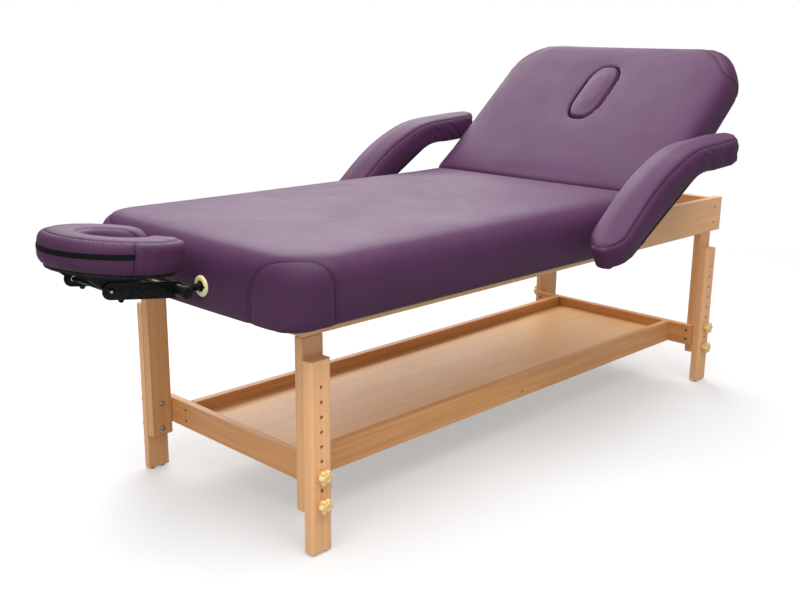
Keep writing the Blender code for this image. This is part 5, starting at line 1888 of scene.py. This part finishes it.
@dataclass
class HeadrestBand:
    """The black tape round the front of the face pad."""

    pad: HeadrestPad
    middle: float = 0.0390
    sag: float = 0.0055
    height: float = 0.0105
    thickness: float = 0.0012
    start: float = 0.090
    columns: int = 96
    rows: int = 4

    def make(self, cover: bpy.types.Object, palette: Palette) -> None:
        """Lays the tape flat on the pad's cover.

        Args:
            cover: the finished face pad.
            palette: the materials.
        """
        bpy.ops.object.select_all(action="DESELECT")
        bpy.ops.mesh.primitive_grid_add(x_subdivisions=self.columns, y_subdivisions=self.rows, size=2)
        band = bpy.context.object
        band.name = "headrest_tape"
        sheet = Bench.points(band)
        angle = -sheet[:, 0] * self.pad.band_reach
        up = self.middle - self.sag * np.cos(sheet[:, 0] * math.pi / 2) + sheet[:, 1] * self.height / 2
        outside = self.pad.rolled(angle, np.full(len(angle), self.start), up)
        inside = self.pad.rolled(angle, np.zeros(len(angle)), up)
        mesh = cover.data
        skin = BVHTree.FromPolygons([v.co for v in mesh.vertices], [p.vertices for p in mesh.polygons])
        laid = []
        for first, last in zip(outside, inside):
            hit = skin.ray_cast(Vector(first), Vector(last - first))[0]
            laid.append(hit if hit else Vector(last))
        Bench.move(band, np.array(laid))
        thick = band.modifiers.new("thick", "SOLIDIFY")
        thick.thickness = self.thickness
        thick.offset = 1.0
        Bench.apply(band, thick)
        Bench.ease_edges(band, self.thickness * 0.3)
        Bench.choose(band)
        bpy.ops.object.shade_smooth_by_angle(angle=Bench.SMOOTH)
        palette.dress(band, WEBBING)
        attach(band, "headrest_top")
        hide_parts("headrest_band")
        LOG.info("headrest band: %d points", len(band.data.vertices))


@dataclass
class Studio:
    """Plain pale floor, soft lamps, white surroundings and the camera of the portrait."""

    eye: tuple[float, float, float] = (-1.9724, -1.8410, 1.0943)
    yaw: float = math.radians(44.28)
    pitch: float = math.radians(14.755)
    roll: float = math.radians(-0.625)
    focal_pixels: float = 1030.4
    sensor: float = 36.0
    ambient: float = 0.45
    floor_half: float = 40.0
    floor_bounce: float = 0.42
    floor_seen: float = 0.42
    floor_glow: float = 0.40

    def build(self) -> None:
        """Sets up the whole studio."""
        self.camera()
        self.floor()
        self.lamps()
        self.surroundings()
        bpy.context.scene.view_settings.view_transform = "Standard"

    def camera(self) -> None:
        """Stands the camera where the photograph was taken."""
        data = bpy.data.cameras.new("portrait")
        data.sensor_width = self.sensor
        data.lens = self.focal_pixels / PHOTO_WIDTH * self.sensor
        camera = bpy.data.objects.new("portrait", data)
        bpy.context.scene.collection.objects.link(camera)
        level = math.cos(self.pitch)
        forward = Vector((math.cos(self.yaw) * level, math.sin(self.yaw) * level, -math.sin(self.pitch)))
        right = Vector((math.sin(self.yaw), -math.cos(self.yaw), 0))
        lean = Matrix.Rotation(self.roll, 3, forward)
        right, up = lean @ right, lean @ right.cross(forward)
        stand = Matrix((right, up, -forward)).transposed().to_4x4()
        stand.translation = Vector(self.eye)
        camera.matrix_world = stand
        bpy.context.scene.camera = camera

    def floor(self) -> None:
        """Lays a pale floor that turns into plain white away from the table."""
        bpy.ops.object.select_all(action="DESELECT")
        bpy.ops.mesh.primitive_plane_add(size=self.floor_half * 2, location=(0, 0, 0))
        floor = bpy.context.object
        floor.name = "studio_floor"
        material = bpy.data.materials.new("studio_floor")
        material.use_nodes = True
        desk = ShaderDesk(material.node_tree)
        shader = material.node_tree.nodes["Principled BSDF"]
        away = desk.add("ShaderNodeVectorMath", operation="LENGTH")
        desk.feed(away.inputs[0], desk.add("ShaderNodeTexCoord").outputs["Object"])
        white = desk.ease(away.outputs["Value"], 1.6, 3.4)
        path = desk.add("ShaderNodeLightPath")
        seen = desk.maths("MAXIMUM", path.outputs["Is Camera Ray"], path.outputs["Is Transmission Ray"])
        bounce, pale = (self.floor_bounce,) * 3, (self.floor_seen,) * 3
        near = desk.mix(seen, bounce, pale)
        unlit = desk.maths("MULTIPLY", white, seen)
        desk.feed(shader.inputs["Base Color"], desk.mix(unlit, near, (0.0, 0.0, 0.0)))
        shader.inputs["Emission Color"].default_value = (1, 1, 1, 1)
        glow = desk.ease(away.outputs["Value"], 1.6, 3.4, self.floor_glow, 1.0)
        desk.feed(shader.inputs["Emission Strength"], desk.maths("MULTIPLY", glow, seen))
        shader.inputs["Roughness"].default_value = 0.9
        shader.inputs["Specular IOR Level"].default_value = 0.0
        floor.data.materials.append(material)

    def lamp(self, name: str, place: tuple, target: tuple, size: float, power: float) -> None:
        """Hangs one square soft lamp.

        Args:
            name: its name.
            place: where it hangs.
            target: what it points at.
            size: its side.
            power: its watts.
        """
        data = bpy.data.lights.new(name, "AREA")
        data.size = size
        data.energy = power
        lamp = bpy.data.objects.new(name, data)
        lamp.location = place
        lamp.rotation_euler = (Vector(target) - Vector(place)).to_track_quat("-Z", "Y").to_euler()
        bpy.context.scene.collection.objects.link(lamp)

    def lamps(self) -> None:
        """Hangs a wide lamp behind the table, one overhead and a weaker one before its head end."""
        self.lamp("back", (1.4, 2.0, 2.9), (0.1, 0.0, 0.6), 3.0, 150.0)
        self.lamp("overhead", (-0.8, -0.9, 3.2), (0.0, 0.0, 0.0), 3.0, 150.0)
        self.lamp("front", (-3.6, -1.4, 1.9), (-0.3, 0.0, 0.5), 2.0, 30.0)

    def surroundings(self) -> None:
        """Makes the world white to the eye, and softer as a light and in reflections."""
        world = bpy.data.worlds.new("studio")
        world.use_nodes = True
        bpy.context.scene.world = world
        desk = ShaderDesk(world.node_tree)
        back = world.node_tree.nodes["Background"]
        back.inputs["Color"].default_value = (1, 1, 1, 1)
        path = desk.add("ShaderNodeLightPath")
        seen = desk.maths("MAXIMUM", path.outputs["Is Camera Ray"], path.outputs["Is Transmission Ray"])
        strength = desk.maths("ADD", desk.maths("MULTIPLY", seen, 1 - self.ambient), self.ambient)
        desk.feed(back.inputs["Strength"], strength)


def joint_place(frame: dict, name: str) -> tuple[float, float, float]:
    """Finds the point of a joint.

    Args:
        frame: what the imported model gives.
        name: the joint's name.

    Returns:
        Its point.
    """
    return next(tuple(joint["pos_m"]) for joint in frame["joints"] if joint["name"] == name)


def build_pads(frame: dict, palette: Palette) -> None:
    """Makes every pad of the table.

    Args:
        frame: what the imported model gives.
        palette: the materials.
    """
    hinge = joint_place(frame, "backrest_tilt")
    MainPad(
        "main_pad", "main_cushion", "frame",
        ("main_deck", "headrest_socket_near", "headrest_socket_far", "armrest_bolt_near", "armrest_bolt_far"),
        voxel=0.012, smoothing=4, fill=0.9,
    ).make(frame, palette)
    incline = Incline(hinge)
    BackrestPad(
        "backrest_pad", "backrest_cushion", "backrest", ("backrest_board", "hinge_leaf_moving"),
        voxel=0.008, smoothing=4, fill=0.9, incline=incline,
    ).make(frame, palette)
    PlugPad(
        "plug_pad", "breather_plug", "breather_plug", ("backrest_board",), voxel=0.004, smoothing=4, fill=0.8,
        start_inset=0.001, incline=incline,
    ).make(frame, palette)
    for side in Side:
        low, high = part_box(f"armrest_pad_{side.label}")
        ArmrestPad(
            f"armrest_cover_{side.label}", f"armrest_pad_{side.label}", f"armrest_{side.label}",
            (f"armrest_board_{side.label}",), voxel=0.006, smoothing=7, fill=0.85, held_reach=0.0012,
            free_reach=0.005, middle=(low.y + high.y) / 2, bend=(hinge[0] - ELBOW_SETBACK, ELBOW_HEIGHT),
        ).make(frame, palette)
    face = HeadrestPad(
        "headrest_cover", "headrest_pad", "headrest_top", ("headrest_platform",), voxel=0.005, smoothing=2,
        fill=0.8, pivot=joint_place(frame, "headrest_tilt"),
    )
    cover = face.make(frame, palette)
    HeadrestBand(face).make(cover, palette)


def main() -> None:
    """Builds the dressed table and its studio."""
    logging.basicConfig(level=logging.INFO, format="%(name)s: %(message)s")
    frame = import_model()
    Studio().build()
    palette = Palette()
    WoodenFrame().make(frame, palette)
    Hardware().make(frame, palette)
    StarKnobs().make(frame, palette)
    build_pads(frame, palette)


if __name__ == "__main__":
    main()
